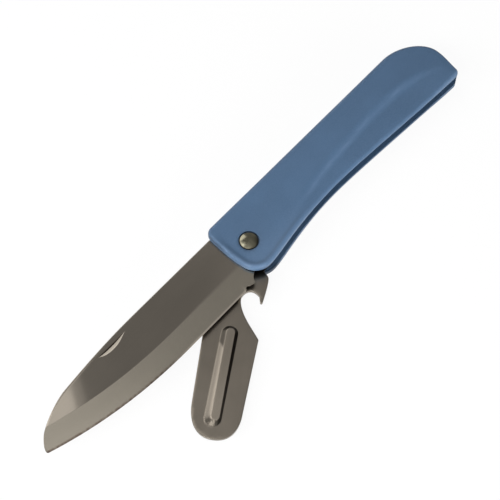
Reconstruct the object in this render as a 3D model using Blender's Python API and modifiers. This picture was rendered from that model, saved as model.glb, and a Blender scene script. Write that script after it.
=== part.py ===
"""Folding picnic knife: a main blade and a bottle-opener leaf on one rivet in a moulded handle.

X runs from the pivot towards the handle's butt, Y from the cutting side towards the handle's spine,
and Z from the handle's back face to its front face. The origin is on the pivot axis, in the plane
of the back face. Both tools are drawn in their own frame: X from the pivot to the tip, Y to the
working side. Turned by 0 degrees they lie folded in the slot, and turned by 180 degrees they are
fully open.
"""

import math

import bmesh
import bpy
from mathutils import Matrix, Vector

MM = 0.001

# How far each tool is turned out of the slot
BLADE_TURN = math.radians(180.0)
LEAF_TURN = math.radians(214.5)

# Clearances
TURNING_GAP = 0.1 * MM
TANG_CLEARANCE = 1.7 * MM
PIVOT_CLEARANCE = 0.08 * MM
SEAM_GAP = 0.2 * MM
SEAT_GAP = 0.1 * MM
STOP_GAP = 0.3 * MM
TIP_CLEARANCE = 4.0 * MM
EDGE_CLEARANCE = 0.45 * MM
RIB_CLEARANCE = 0.35 * MM

# Rivet and washers
SHANK_RADIUS = 1.5 * MM
HEAD_RADIUS = 3.35 * MM
HEAD_RIM = 0.6 * MM
HEAD_DOME = 0.35 * MM
HEAD_SINK = 0.2 * MM
TAIL_RADIUS = 2.3 * MM
TAIL_THICKNESS = 0.5 * MM
BURR_RADIUS = 3.1 * MM
BURR_THICKNESS = 0.5 * MM
COUNTERBORE_CLEARANCE = 0.2 * MM
WASHER_RADIUS = 4.6 * MM
WASHER_THICKNESS = 0.3 * MM
SPRING_THICKNESS = 0.25 * MM
SPRING_DISH = 0.2 * MM

# Main blade
BLADE_THICKNESS = 2.0 * MM
BLADE_REACH = 100.0 * MM
BLADE_SPINE = 11.25 * MM
BLADE_EDGE = 11.2 * MM
BLADE_HEEL = 14.3 * MM
KICK_START = 6.0 * MM
NOTCH_RADIUS = 0.95 * MM
SPINE_STRAIGHT = 48.0 * MM
SPINE_DROP = 2.1 * MM
BELLY_START = 40.0 * MM
BELLY_RISE = 9.3 * MM
BELLY_POWER = 2.2
EDGE_THICKNESS = 0.25 * MM
GRIND_WIDTH_HEEL = 8.1 * MM
GRIND_WIDTH_TIP = 8.4 * MM
NICK_CENTRE = 59.2 * MM
NICK_LENGTH = 12.4 * MM
NICK_BELOW_SPINE = 2.15 * MM
NICK_DEPTH = 0.55 * MM
NICK_SLOPE = 0.6

# Bottle-opener leaf
LEAF_THICKNESS = 1.4 * MM
LEAF_REACH = 71.0 * MM
LEAF_SPINE = 11.25 * MM
LEAF_FLARE = 0.15 * MM
PRONG_REACH = 20.6 * MM
PRONG_HEIGHT = 8.4 * MM
FULCRUM_REACH = 34.2 * MM
FULCRUM_HEIGHT = 7.8 * MM
NOTCH_PLACE = 19.6 * MM
NOTCH_FLOOR = 0.15 * MM
RIB_START = 30.4 * MM
RIB_END_INSET = 4.0 * MM
RIB_HOLLOW_INSET = 0.6 * MM
RIB_WIDTH = 6.2 * MM
RIB_TOP_WIDTH = 2.6 * MM
RIB_HEIGHT = 0.75 * MM
RIB_OFFSET = 2.95 * MM
RIB_SLANT = math.radians(2.7)

# Handle
WALL = 2.15 * MM
WEB = 1.85 * MM
BUTT_WALL = 2.3 * MM
FRONT_REACH = 8.95 * MM
NOSE_DEPTH = 11.0 * MM
NOSE_RADIUS = 7.3 * MM
WAIST_PLACE = 37.7 * MM
WAIST_DEPTH = 7.6 * MM
BUTT_DEPTH = 11.2 * MM
FRONT_CORNER = 3.0 * MM
BUTT_CORNER = 2.0 * MM
BUTT_ROUND = 17.0 * MM
FACE_ROUNDING = 1.3 * MM
BACK_ROUNDING = 0.8 * MM
PAD_LENGTH = 12.0 * MM
LUG_START = 10.8 * MM
LUG_END = 16.0 * MM
GUSSET_LENGTH = 18.0 * MM
GUSSET_DROP = 7.0 * MM
PEG_RADIUS = 1.0 * MM
PEG_HEIGHT = 2.0 * MM
PEG_INSET = 9.0 * MM
PEG_ABOVE_GUSSET = 2.1 * MM
SCOOP_START = 17.0 * MM
SCOOP_END_INSET = 7.4 * MM
SCOOP_DEPTH = 0.7 * MM
SCOOP_WIDTH = 8.6 * MM
SCOOP_BOW = 3.2 * MM
SCOOP_LIP = 1.0 * MM

ROUND_STEPS = 48
OVERSHOOT = 12.0 * MM

# Levels through the thickness, from the back face up
SPRING_LOW = WALL + TURNING_GAP
LEAF_LOW = SPRING_LOW + SPRING_THICKNESS + SPRING_DISH + TURNING_GAP
LEAF_HIGH = LEAF_LOW + LEAF_THICKNESS
BLADE_LOW = LEAF_HIGH + RIB_HEIGHT + RIB_CLEARANCE
BLADE_HIGH = BLADE_LOW + BLADE_THICKNESS
FRONT_WASHER_LOW = BLADE_HIGH + TURNING_GAP
FRONT_WALL_FACE = FRONT_WASHER_LOW + WASHER_THICKNESS + TURNING_GAP
HANDLE_THICKNESS = FRONT_WALL_FACE + WALL
SEAM = HANDLE_THICKNESS / 2

# Heights above the pivot axis, and the inner butt wall, which the folded blade sets
WEB_FACE = BLADE_EDGE + EDGE_CLEARANCE
HANDLE_SPINE = WEB_FACE + WEB
PAD_FACE = max(BLADE_SPINE, LEAF_SPINE) + STOP_GAP
LUG_FACE = PRONG_HEIGHT + STOP_GAP
TANG_RADIUS = PAD_FACE - TANG_CLEARANCE
SLOT_END = BLADE_REACH + TIP_CLEARANCE
BUTT_END = SLOT_END + BUTT_WALL
GUSSET_START = SLOT_END - GUSSET_LENGTH
PEG_PLACE = SLOT_END - PEG_INSET
SCOOP_LENGTH = BUTT_END - SCOOP_END_INSET - SCOOP_START
RIB_END = LEAF_REACH - RIB_END_INSET

# Rivet seats
TOOL_HOLE = SHANK_RADIUS + PIVOT_CLEARANCE
HEAD_SEAT_DEPTH = HEAD_SINK + HEAD_RIM + SEAT_GAP
TAIL_SEAT_DEPTH = TAIL_THICKNESS + SEAT_GAP + BURR_THICKNESS + SEAT_GAP


# ---------------------------------------------------------------- drawing


def arc(centre, radius, start, end, steps):
    """Points on a round stretch, from one angle to another in degrees."""
    angles = [math.radians(start + (end - start) * i / steps) for i in range(steps + 1)]
    return [(centre[0] + radius * math.cos(a), centre[1] + radius * math.sin(a)) for a in angles]


def curve(start, handle_a, handle_b, end, steps):
    """Points on a cubic curve, without its first point."""
    points = []
    for i in range(1, steps + 1):
        t = i / steps
        weights = ((1 - t) ** 3, 3 * (1 - t) ** 2 * t, 3 * (1 - t) * t**2, t**3)
        corners = (start, handle_a, handle_b, end)
        points.append(tuple(sum(w * c[k] for w, c in zip(weights, corners)) for k in (0, 1)))
    return points


def handle_outline():
    """The handle seen from the front, anticlockwise from the front corner of its spine."""
    corner = (-FRONT_REACH + 0.75 * MM + FRONT_CORNER, HANDLE_SPINE - FRONT_CORNER)
    nose = (-FRONT_REACH + 0.7 * MM + NOSE_RADIUS, -NOSE_DEPTH + NOSE_RADIUS)
    waist = (WAIST_PLACE, -WAIST_DEPTH)
    butt_corner = (BUTT_END - 1.5 * MM - BUTT_CORNER, -BUTT_DEPTH + BUTT_CORNER)
    points = arc(corner, FRONT_CORNER, 90, 180, 6)
    nose_top = (nose[0] - NOSE_RADIUS, nose[1])
    lead = (-FRONT_REACH + 0.35 * MM, 5 * MM)
    points += curve(points[-1], lead, (-FRONT_REACH + 0.15 * MM, 0), nose_top, 6)
    points += arc(nose, NOSE_RADIUS, 180, 270, 10)[1:]
    bottom = points[-1]
    lead = (bottom[0] + 6.5 * MM, bottom[1])
    points += curve(bottom, lead, (waist[0] - 21.7 * MM, waist[1]), waist, 14)
    corner_low = arc(butt_corner, BUTT_CORNER, -92, -9, 5)
    start = corner_low[0]
    end_lead = (start[0] - 18.9 * MM, start[1] + 0.5 * MM)
    points += curve(waist, (waist[0] + 14.2 * MM, waist[1]), end_lead, start, 12)
    points += corner_low[1:]
    side = (BUTT_END, 0.6 * MM)
    points += curve(points[-1], (BUTT_END - 0.8 * MM, -5.0 * MM), (BUTT_END, -3.0 * MM), side, 5)
    top = (BUTT_END - BUTT_ROUND, HANDLE_SPINE)
    bulge = (HANDLE_SPINE - side[1]) * 0.52
    points += curve(side, (side[0], side[1] + bulge), (top[0] + BUTT_ROUND * 0.5, top[1]), top, 16)
    return points


def slot_outline(inner_step):
    """The slot that both tools fold into, open at the front and along the underside.

    inner_step lists the places and heights of the web's face from the front to the gusset at the butt.
    """
    below = -NOSE_DEPTH - OVERSHOOT
    outer = [(SLOT_END, below), (-FRONT_REACH - OVERSHOOT, below)]
    gusset = [(GUSSET_START, WEB_FACE), (SLOT_END, WEB_FACE - GUSSET_DROP)]
    return outer + inner_step + gusset


def belly_share(x):
    """How far along the rising belly a place is, from 0 at its start to 1 at the tip."""
    return max(0.0, (x - BELLY_START) / (BLADE_REACH - BELLY_START))


def edge_height(x):
    """The cutting edge's distance from the blade's axis."""
    return BLADE_EDGE - BELLY_RISE * belly_share(x) ** BELLY_POWER


def blade_outline():
    """The main blade in its own frame, spine on the negative side of Y."""
    points = [(0.0, -BLADE_SPINE), (SPINE_STRAIGHT, -BLADE_SPINE)]
    drop = (BLADE_REACH - 18.0 * MM, -BLADE_SPINE + SPINE_DROP)
    lead = (SPINE_STRAIGHT + 10 * MM, -BLADE_SPINE)
    points += curve(points[-1], lead, (drop[0] - 12 * MM, drop[1] - 1.3 * MM), drop, 8)
    shoulder = (BLADE_REACH - 2.75 * MM, -2.7 * MM)
    lead = (drop[0] + 5 * MM, drop[1] + 0.8 * MM)
    points += curve(drop, lead, (shoulder[0] - 2.5 * MM, shoulder[1] - 2.5 * MM), shoulder, 9)
    nose_x = BLADE_REACH - 0.7 * MM
    nose = (nose_x, edge_height(nose_x))
    lead = (shoulder[0] + 2.05 * MM, -0.7 * MM)
    points += curve(shoulder, lead, (BLADE_REACH + 1.0 * MM, 1.6 * MM), nose, 8)
    steps = 14
    belly = [nose_x + (BELLY_START - nose_x) * i / steps for i in range(1, steps + 1)]
    points += [(x, edge_height(x)) for x in belly]
    points += [(BLADE_HEEL, BLADE_EDGE)]
    points += arc((BLADE_HEEL - 2 * NOTCH_RADIUS, BLADE_EDGE), NOTCH_RADIUS, -20, -160, 5)
    kick = (BLADE_HEEL - 4.4 * MM, BLADE_EDGE - 1.1 * MM)
    points += arc(kick, 1.15 * MM, 75, 165, 5)
    root = (KICK_START, 8.0 * MM)
    lead = (kick[0] - 1.6 * MM, kick[1] - 0.8 * MM)
    points += curve(points[-1], lead, (root[0] + 0.8 * MM, root[1] + 0.6 * MM), root, 4)
    points += tang(BLADE_SPINE, 60)
    return points


def tang(spine, start):
    """The round end of a tool behind its pivot, from its working side round to its spine."""
    points = arc((0, 0), TANG_RADIUS, start, 180, 14)
    shoulder = 0.65 * TANG_RADIUS
    points += curve(points[-1], (-TANG_RADIUS, -shoulder), (-shoulder, -spine), (0.0, -spine), 8)[:-1]
    return points


def leaf_outline():
    """The opener leaf in its own frame, spine on the negative side of Y."""
    end = (LEAF_REACH, -2.5 * MM)
    flared = -LEAF_SPINE - LEAF_FLARE
    points = [(0.0, -LEAF_SPINE), (LEAF_REACH - 11.8 * MM, flared)]
    lead = (LEAF_REACH - 2.9 * MM, flared)
    points += curve(points[-1], lead, (LEAF_REACH + 0.1 * MM, -6.9 * MM), end, 9)
    flank = (LEAF_REACH - 9.2 * MM, 5.9 * MM)
    points += curve(end, (LEAF_REACH, 3.8 * MM), (flank[0] + 4.0 * MM, flank[1] - 0.3 * MM), flank, 9)
    points += [(FULCRUM_REACH, FULCRUM_HEIGHT)]
    floor = (NOTCH_PLACE, -NOTCH_FLOOR)
    throat = (PRONG_REACH - 2.7 * MM, PRONG_HEIGHT - 2.5 * MM)
    lead = (FULCRUM_REACH - 3.2 * MM, FULCRUM_HEIGHT - 2 * MM)
    points += curve(points[-1], lead, (floor[0] + 5.6 * MM, floor[1]), floor, 9)
    lead = (floor[0] - 0.9 * MM, floor[1])
    points += curve(floor, lead, (throat[0] - 3.7 * MM, throat[1] - 3.9 * MM), throat, 8)
    tip = (PRONG_REACH - 0.55 * MM, PRONG_HEIGHT - 1.45 * MM)
    inside = (tip[0] - 0.15 * MM, tip[1] - 0.45 * MM)
    lead = (throat[0] + 0.5 * MM, throat[1] + 0.35 * MM)
    points += curve(throat, lead, (throat[0] + 1.3 * MM, throat[1] + 0.3 * MM), inside, 3)
    points += arc(tip, 0.5 * MM, -50, 65, 4)
    back = (PRONG_REACH - 9.2 * MM, PRONG_HEIGHT)
    lead = (back[0] + 6.1 * MM, back[1] - 0.5 * MM)
    points += curve(points[-1], lead, (back[0] + 1.6 * MM, back[1] + 0.1 * MM), back, 6)
    root = (back[0] - 2.8 * MM, back[1] - 2.0 * MM)
    lead = (back[0] - 1.2 * MM, back[1])
    points += curve(back, lead, (root[0] + 1.0 * MM, root[1] + 1.2 * MM), root, 4)
    points += tang(LEAF_SPINE, 44)
    return points


def circle(radius, steps=ROUND_STEPS, centre=(0.0, 0.0)):
    """A closed round outline."""
    return arc(centre, radius, 0, 360, steps)[:-1]


# ---------------------------------------------------------------- building


def clear_scene():
    """Removes whatever the file held."""
    for thing in list(bpy.data.objects):
        bpy.data.objects.remove(thing, do_unlink=True)


def collection(name):
    """A new collection in the scene."""
    group = bpy.data.collections.new(name)
    bpy.context.scene.collection.children.link(group)
    return group


def material(name, colour, roughness, metallic):
    """A Principled material."""
    finish = bpy.data.materials.new(name)
    finish.use_nodes = True
    shader = finish.node_tree.nodes["Principled BSDF"]
    shader.inputs["Base Color"].default_value = (*colour, 1.0)
    shader.inputs["Roughness"].default_value = roughness
    shader.inputs["Metallic"].default_value = metallic
    return finish


def cutter(thing):
    """Marks a shape that only cuts."""
    thing.hide_render = True
    thing.display_type = "WIRE"
    CUTTERS.objects.link(thing)
    return thing


def prism(name, outlines, low, high):
    """A solid of one flat outline, with any further outlines as holes, between two levels."""
    drawing = bpy.data.curves.new(name + "_outline", "CURVE")
    drawing.dimensions = "2D"
    drawing.fill_mode = "BOTH"
    drawing.extrude = (high - low) / 2
    for outline in outlines:
        line = drawing.splines.new("POLY")
        line.points.add(len(outline) - 1)
        line.use_cyclic_u = True
        for point, (x, y) in zip(line.points, outline):
            point.co = (x, y, 0, 1)
    drawn = bpy.data.objects.new(name + "_drawn", drawing)
    bpy.context.scene.collection.objects.link(drawn)
    evaluated = drawn.evaluated_get(bpy.context.evaluated_depsgraph_get())
    mesh = bpy.data.meshes.new_from_object(evaluated)
    bpy.data.objects.remove(drawn, do_unlink=True)
    mesh.name = name
    form = bmesh.new()
    form.from_mesh(mesh)
    bmesh.ops.remove_doubles(form, verts=form.verts, dist=0.001 * MM)
    bmesh.ops.translate(form, verts=form.verts, vec=(0, 0, (low + high) / 2))
    bmesh.ops.recalc_face_normals(form, faces=form.faces)
    if len(outlines) == 1:
        inside = [e for e in form.edges if all(abs(f.normal.z) > 0.9 for f in e.link_faces)]
        bmesh.ops.dissolve_edges(form, edges=inside)
    form.to_mesh(mesh)
    form.free()
    return bpy.data.objects.new(name, mesh)


def cut(thing, tool, operation="DIFFERENCE"):
    """Adds one Boolean to a part."""
    step = thing.modifiers.new(operation.lower(), "BOOLEAN")
    step.operation = operation
    step.solver = "EXACT"
    step.object = tool


def round_face(thing, level, width, steps=3):
    """Rounds the outline's edges in one face, those that lie at the given level."""
    mesh = thing.data
    weights = mesh.attributes.new("bevel_weight_edge", "FLOAT", "EDGE")
    for edge in mesh.edges:
        if all(abs(mesh.vertices[v].co.z - level) < 0.01 * MM for v in edge.vertices):
            weights.data[edge.index].value = 1.0
    step = thing.modifiers.new("rounding", "BEVEL")
    step.limit_method = "WEIGHT"
    step.width = width
    step.segments = steps
    step.use_clamp_overlap = False
    step.loop_slide = False


def turned(name, profile, finish):
    """A round piece about the pivot axis, its profile given down the outer side first."""
    mesh = bpy.data.meshes.new(name)
    form = bmesh.new()
    corners = [form.verts.new((radius, 0, level)) for radius, level in profile]
    for a, b in zip(corners, corners[1:]):
        form.edges.new((a, b))
    if profile[0][0] > 0:
        form.edges.new((corners[-1], corners[0]))
    form.to_mesh(mesh)
    form.free()
    thing = bpy.data.objects.new(name, mesh)
    step = thing.modifiers.new("turning", "SCREW")
    step.angle = math.radians(360)
    step.steps = ROUND_STEPS
    step.render_steps = ROUND_STEPS
    step.use_merge_vertices = True
    step.merge_threshold = 0.001 * MM
    step.use_normal_calculate = False
    finished(thing, finish)
    return thing


def finished(thing, finish):
    """Gives a part its material and puts it in the knife's collection."""
    thing.data.materials.clear()
    thing.data.materials.append(finish)
    KNIFE.objects.link(thing)
    return thing


def scoop_cutter(name, face, side):
    """A long round bar laid just over a handle face, whose underside hollows the face."""
    radius = (SCOOP_WIDTH / 2) ** 2 / (2 * SCOOP_DEPTH) + SCOOP_DEPTH / 2
    path = bpy.data.curves.new(name + "_path", "CURVE")
    path.dimensions = "3D"
    path.bevel_depth = radius
    path.bevel_resolution = 22
    path.use_fill_caps = True
    steps = 10
    line = path.splines.new("POLY")
    line.points.add(steps)
    for i, point in enumerate(line.points):
        t = i / steps
        bow = 1 - (2 * t - 1) ** 2
        depth = SCOOP_DEPTH * (1.6 * bow - 0.6)
        x = SCOOP_START + SCOOP_LENGTH * t
        y = -WAIST_DEPTH - SCOOP_BOW + SCOOP_LIP + SCOOP_WIDTH / 2 + SCOOP_BOW * bow
        point.co = (x, y, face + side * (radius - depth), 1)
    bar = bpy.data.objects.new(name + "_bar", path)
    bpy.context.scene.collection.objects.link(bar)
    evaluated = bar.evaluated_get(bpy.context.evaluated_depsgraph_get())
    mesh = bpy.data.meshes.new_from_object(evaluated)
    bpy.data.objects.remove(bar, do_unlink=True)
    form = bmesh.new()
    form.from_mesh(mesh)
    bmesh.ops.remove_doubles(form, verts=form.verts, dist=0.001 * MM)
    bmesh.ops.recalc_face_normals(form, faces=form.faces)
    form.to_mesh(mesh)
    form.free()
    return cutter(bpy.data.objects.new(name, mesh))


# ---------------------------------------------------------------- handle


def peg_place():
    """The middle of the butt's corner block, between the gusset and the handle's outside."""
    along = (PEG_PLACE - GUSSET_START) / (SLOT_END - GUSSET_START)
    return (PEG_PLACE, WEB_FACE - GUSSET_DROP * along + PEG_ABOVE_GUSSET)


def shank_hole(name):
    """The hole for the rivet's shank, right through the handle."""
    hole = circle(SHANK_RADIUS + SEAT_GAP)
    return cutter(prism(name, [hole], -OVERSHOOT, HANDLE_THICKNESS + OVERSHOOT))


def front_scale(plastic):
    """The front half of the handle: wall, half the web and butt, head seat and peg socket."""
    low = SEAM + SEAM_GAP / 2
    scale = prism("front_scale", [handle_outline()], low, HANDLE_THICKNESS)
    round_face(scale, HANDLE_THICKNESS, FACE_ROUNDING)
    cut(scale, shank_hole("front_hole"))
    web = [(-FRONT_REACH - OVERSHOOT, PAD_FACE), (PAD_LENGTH, PAD_FACE), (PAD_LENGTH, WEB_FACE)]
    cut(scale, cutter(prism("front_slot", [slot_outline(web)], low - OVERSHOOT, FRONT_WALL_FACE)))
    seat = circle(HEAD_RADIUS + COUNTERBORE_CLEARANCE)
    floor = HANDLE_THICKNESS - HEAD_SEAT_DEPTH
    cut(scale, cutter(prism("head_seat", [seat], floor, HANDLE_THICKNESS + OVERSHOOT)))
    socket = circle(PEG_RADIUS + SEAT_GAP, 24, peg_place())
    top = low + PEG_HEIGHT + SEAT_GAP
    cut(scale, cutter(prism("peg_socket", [socket], low - OVERSHOOT, top)))
    cut(scale, scoop_cutter("front_scoop", HANDLE_THICKNESS, 1))
    return finished(scale, plastic)


def back_scale(plastic):
    """The back half of the handle: wall, half the web and butt, leaf stop lug, peg and tail seat."""
    high = SEAM - SEAM_GAP / 2
    scale = prism("back_scale", [handle_outline()], 0, high)
    round_face(scale, 0, BACK_ROUNDING)
    cut(scale, shank_hole("back_hole"))
    web = [(-FRONT_REACH - OVERSHOOT, PAD_FACE), (LUG_START, PAD_FACE), (LUG_START, LUG_FACE),
           (LUG_END, LUG_FACE), (LUG_END, WEB_FACE)]
    cut(scale, cutter(prism("back_slot", [slot_outline(web)], WALL, high + OVERSHOOT)))
    seat = circle(BURR_RADIUS + COUNTERBORE_CLEARANCE)
    cut(scale, cutter(prism("tail_seat", [seat], -OVERSHOOT, TAIL_SEAT_DEPTH)))
    peg = circle(PEG_RADIUS, 24, peg_place())
    root = WALL + TURNING_GAP
    cut(scale, cutter(prism("locating_peg", [peg], root, SEAM + SEAM_GAP / 2 + PEG_HEIGHT)), "UNION")
    cut(scale, scoop_cutter("back_scoop", 0, -1))
    return finished(scale, plastic)


# ---------------------------------------------------------------- tools


def grind_cutter(name, face, side):
    """The wedge of steel ground off one side, between the grind line and the cutting edge."""
    stations = 24
    start = KICK_START - 3.0 * MM
    rings = []
    form = bmesh.new()
    rise = (BLADE_THICKNESS - EDGE_THICKNESS) / 2
    beyond = 3.0 * MM
    for i in range(stations + 1):
        x = start + (BLADE_REACH + beyond - start) * i / stations
        width = GRIND_WIDTH_HEEL + (GRIND_WIDTH_TIP - GRIND_WIDTH_HEEL) * belly_share(x)
        edge = edge_height(x)
        line = edge - width
        slope = rise / width
        rings.append([form.verts.new((x, line - beyond, face + side * slope * beyond)),
                      form.verts.new((x, edge + beyond, face - side * (rise + slope * beyond))),
                      form.verts.new((x, edge + beyond, face + side * slope * beyond))])
    for a, b in zip(rings, rings[1:]):
        for k in range(3):
            form.faces.new((a[k], a[(k + 1) % 3], b[(k + 1) % 3], b[k]))
    form.faces.new(rings[0])
    form.faces.new(rings[-1])
    bmesh.ops.recalc_face_normals(form, faces=form.faces)
    mesh = bpy.data.meshes.new(name)
    form.to_mesh(mesh)
    form.free()
    return cutter(bpy.data.objects.new(name, mesh))


def nick_cutter():
    """A wide cone on edge, whose rim leaves a crescent groove with one straight, steep side."""
    reach = ((NICK_LENGTH / 2) ** 2 + NICK_DEPTH**2) / (2 * NICK_DEPTH)
    height = reach / NICK_SLOPE
    form = bmesh.new()
    bmesh.ops.create_cone(form, cap_ends=True, segments=160, radius1=reach, radius2=0, depth=height)
    bmesh.ops.translate(form, verts=form.verts, vec=(0, 0, height / 2))
    bmesh.ops.rotate(form, verts=form.verts, matrix=Matrix.Rotation(math.radians(-90), 3, "X"))
    place = Vector((NICK_CENTRE, -BLADE_SPINE + NICK_BELOW_SPINE, BLADE_HIGH - NICK_DEPTH + reach))
    bmesh.ops.translate(form, verts=form.verts, vec=place)
    mesh = bpy.data.meshes.new("nail_nick")
    form.to_mesh(mesh)
    form.free()
    return cutter(bpy.data.objects.new("nail_nick", mesh))


def main_blade(steel, pivot):
    """The ground blade, with its nail nick near the spine."""
    blade = prism("main_blade", [blade_outline(), circle(TOOL_HOLE)], BLADE_LOW, BLADE_HIGH)
    front = grind_cutter("front_grind", BLADE_HIGH, 1)
    back = grind_cutter("back_grind", BLADE_LOW, -1)
    for tool in (front, back, nick_cutter()):
        tool.parent = pivot
        cut(blade, tool)
    blade.parent = pivot
    return finished(blade, steel)


def rib_form(name, base, low, high, top):
    """A long pad with round ends and sloping walls; its foot reaches down to low."""
    half = (RIB_END - RIB_START - RIB_WIDTH) / 2
    ends = arc((half, 0), base, -90, 90, 10) + arc((-half, 0), base, 90, 270, 10)
    form = bmesh.new()
    foot = [form.verts.new((x, y, low)) for x, y in ends]
    knee = [form.verts.new((x, y, high)) for x, y in ends]
    share = top / base
    crown = []
    for x, y in ends:
        centre = half if x > 0 else -half
        crown.append(form.verts.new((centre + (x - centre) * share, y * share, high + RIB_HEIGHT)))
    count = len(ends)
    for lower, upper in ((foot, knee), (knee, crown)):
        for k in range(count):
            form.faces.new((lower[k], lower[(k + 1) % count], upper[(k + 1) % count], upper[k]))
    form.faces.new(foot)
    form.faces.new(crown)
    bmesh.ops.recalc_face_normals(form, faces=form.faces)
    turn = Matrix.Rotation(-RIB_SLANT, 3, "Z")
    bmesh.ops.rotate(form, verts=form.verts, matrix=turn)
    bmesh.ops.translate(form, verts=form.verts, vec=((RIB_START + RIB_END) / 2, -RIB_OFFSET, 0))
    mesh = bpy.data.meshes.new(name)
    form.to_mesh(mesh)
    form.free()
    return cutter(bpy.data.objects.new(name, mesh))


def bottle_opener(steel, pivot):
    """The pressed leaf: crown-cap notch, and a rib raised in front and hollow behind."""
    leaf = prism("bottle_opener", [leaf_outline(), circle(TOOL_HOLE)], LEAF_LOW, LEAF_HIGH)
    root = LEAF_HIGH - LEAF_THICKNESS / 2
    raised = rib_form("pressed_rib", RIB_WIDTH / 2, root, LEAF_HIGH, RIB_TOP_WIDTH / 2)
    foot = RIB_WIDTH / 2 - RIB_HOLLOW_INSET
    crown = (RIB_TOP_WIDTH - RIB_HOLLOW_INSET) / 2
    hollow = rib_form("rib_hollow", foot, LEAF_LOW - OVERSHOOT, LEAF_LOW, crown)
    raised.parent = pivot
    hollow.parent = pivot
    cut(leaf, raised, "UNION")
    cut(leaf, hollow)
    leaf.parent = pivot
    return finished(leaf, steel)


# ---------------------------------------------------------------- rivet and washers


def pivot_rivet(steel):
    """Domed front head, shank and flush riveted tail in one piece."""
    seat = HANDLE_THICKNESS - HEAD_SEAT_DEPTH + SEAT_GAP
    rim = seat + HEAD_RIM
    sphere = (HEAD_RADIUS**2 + HEAD_DOME**2) / (2 * HEAD_DOME)
    dome = [(r, rim + math.sqrt(sphere**2 - r**2) - (sphere - HEAD_DOME))
            for r in [HEAD_RADIUS * k / 6 for k in range(7)]]
    profile = dome + [(HEAD_RADIUS, seat), (SHANK_RADIUS, seat), (SHANK_RADIUS, TAIL_THICKNESS),
                      (TAIL_RADIUS, TAIL_THICKNESS), (TAIL_RADIUS, 0.0), (0.0, 0.0)]
    return turned("pivot_rivet", profile, steel)


def ring(name, inner, outer, low, high, dish, finish):
    """A washer; a dished one stands higher at its inner rim."""
    profile = [(inner, high + dish), (outer, high), (outer, low), (inner, low + dish)]
    return turned(name, profile, finish)


def main():
    """Builds the whole knife, tools at the turn given for each."""
    blue = material("blue_moulding", (0.085, 0.145, 0.235), 0.42, 0.0)
    ground = material("ground_steel", (0.42, 0.40, 0.36), 0.35, 1.0)
    pressed = material("pressed_steel", (0.46, 0.43, 0.39), 0.38, 1.0)
    bright = material("rivet_steel", (0.40, 0.39, 0.34), 0.3, 1.0)
    zinc = material("zinc_steel", (0.55, 0.55, 0.53), 0.35, 1.0)
    brass = material("washer_brass", (0.62, 0.47, 0.22), 0.35, 1.0)
    spring = material("spring_steel", (0.30, 0.30, 0.32), 0.4, 1.0)

    blade_pivot = bpy.data.objects.new("blade_pivot", None)
    blade_pivot.rotation_euler.z = BLADE_TURN
    leaf_pivot = bpy.data.objects.new("leaf_pivot", None)
    leaf_pivot.rotation_euler.z = LEAF_TURN
    for empty in (blade_pivot, leaf_pivot):
        KNIFE.objects.link(empty)

    front_scale(blue)
    back_scale(blue)
    main_blade(ground, blade_pivot)
    bottle_opener(pressed, leaf_pivot)
    pivot_rivet(bright)
    low = FRONT_WASHER_LOW
    ring("front_washer", TOOL_HOLE, WASHER_RADIUS, low, low + WASHER_THICKNESS, 0, brass)
    low = LEAF_HIGH + TURNING_GAP
    ring("centre_spacer", TOOL_HOLE, WASHER_RADIUS, low, BLADE_LOW - TURNING_GAP, 0, brass)
    low = SPRING_LOW
    ring("spring_washer", TOOL_HOLE, WASHER_RADIUS, low, low + SPRING_THICKNESS, SPRING_DISH, spring)
    low = TAIL_THICKNESS + SEAT_GAP
    ring("rivet_burr", SHANK_RADIUS + SEAT_GAP, BURR_RADIUS, low, low + BURR_THICKNESS, 0, zinc)
    bpy.context.view_layer.update()


clear_scene()
KNIFE = collection("folding_knife")
CUTTERS = collection("cutters")
main()
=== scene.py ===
"""Dresses the folding picnic knife with its finished pieces, materials and studio.

Lengths are in metres. X runs from the pivot towards the handle's butt, Y from the cutting side towards
the handle's spine, and Z from the back face to the front face. Both tools are drawn in their own frame,
with X from the pivot to the tip and Y to the working side, and are then turned to where they stand.
"""

import math

import bmesh
import bpy
import numpy as np
from bpy.props import FloatProperty, FloatVectorProperty, IntProperty, PointerProperty
from bpy.types import Operator, Panel, PropertyGroup
from mathutils import Matrix, Vector
from mathutils.geometry import delaunay_2d_cdt
from mathutils.kdtree import KDTree


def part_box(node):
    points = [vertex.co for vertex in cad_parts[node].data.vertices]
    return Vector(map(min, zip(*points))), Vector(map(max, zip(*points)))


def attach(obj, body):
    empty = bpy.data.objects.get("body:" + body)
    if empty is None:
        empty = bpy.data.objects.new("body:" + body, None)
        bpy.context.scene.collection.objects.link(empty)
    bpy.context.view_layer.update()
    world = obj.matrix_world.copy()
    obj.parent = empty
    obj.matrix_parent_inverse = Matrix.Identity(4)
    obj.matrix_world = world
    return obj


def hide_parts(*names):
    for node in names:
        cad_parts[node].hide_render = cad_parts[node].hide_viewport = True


bl_info = {
    "name": "Folding Picnic Knife",
    "version": (1, 0, 0),
    "blender": (4, 5, 0),
    "location": "View3D > Sidebar > Picnic Knife",
    "description": "Makes the finished handle, blade, opener leaf, rivet and washers of a folding knife",
    "category": "Object",
}

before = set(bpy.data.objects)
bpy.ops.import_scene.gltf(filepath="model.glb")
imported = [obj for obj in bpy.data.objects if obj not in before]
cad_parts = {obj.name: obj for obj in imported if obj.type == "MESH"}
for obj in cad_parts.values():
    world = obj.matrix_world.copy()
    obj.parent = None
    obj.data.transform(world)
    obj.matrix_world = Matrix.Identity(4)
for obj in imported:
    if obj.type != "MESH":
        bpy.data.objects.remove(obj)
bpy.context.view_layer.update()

MM = 0.001


def level(node, top):
    """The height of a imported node's top or bottom."""
    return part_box(node)[1 if top else 0].z


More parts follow.
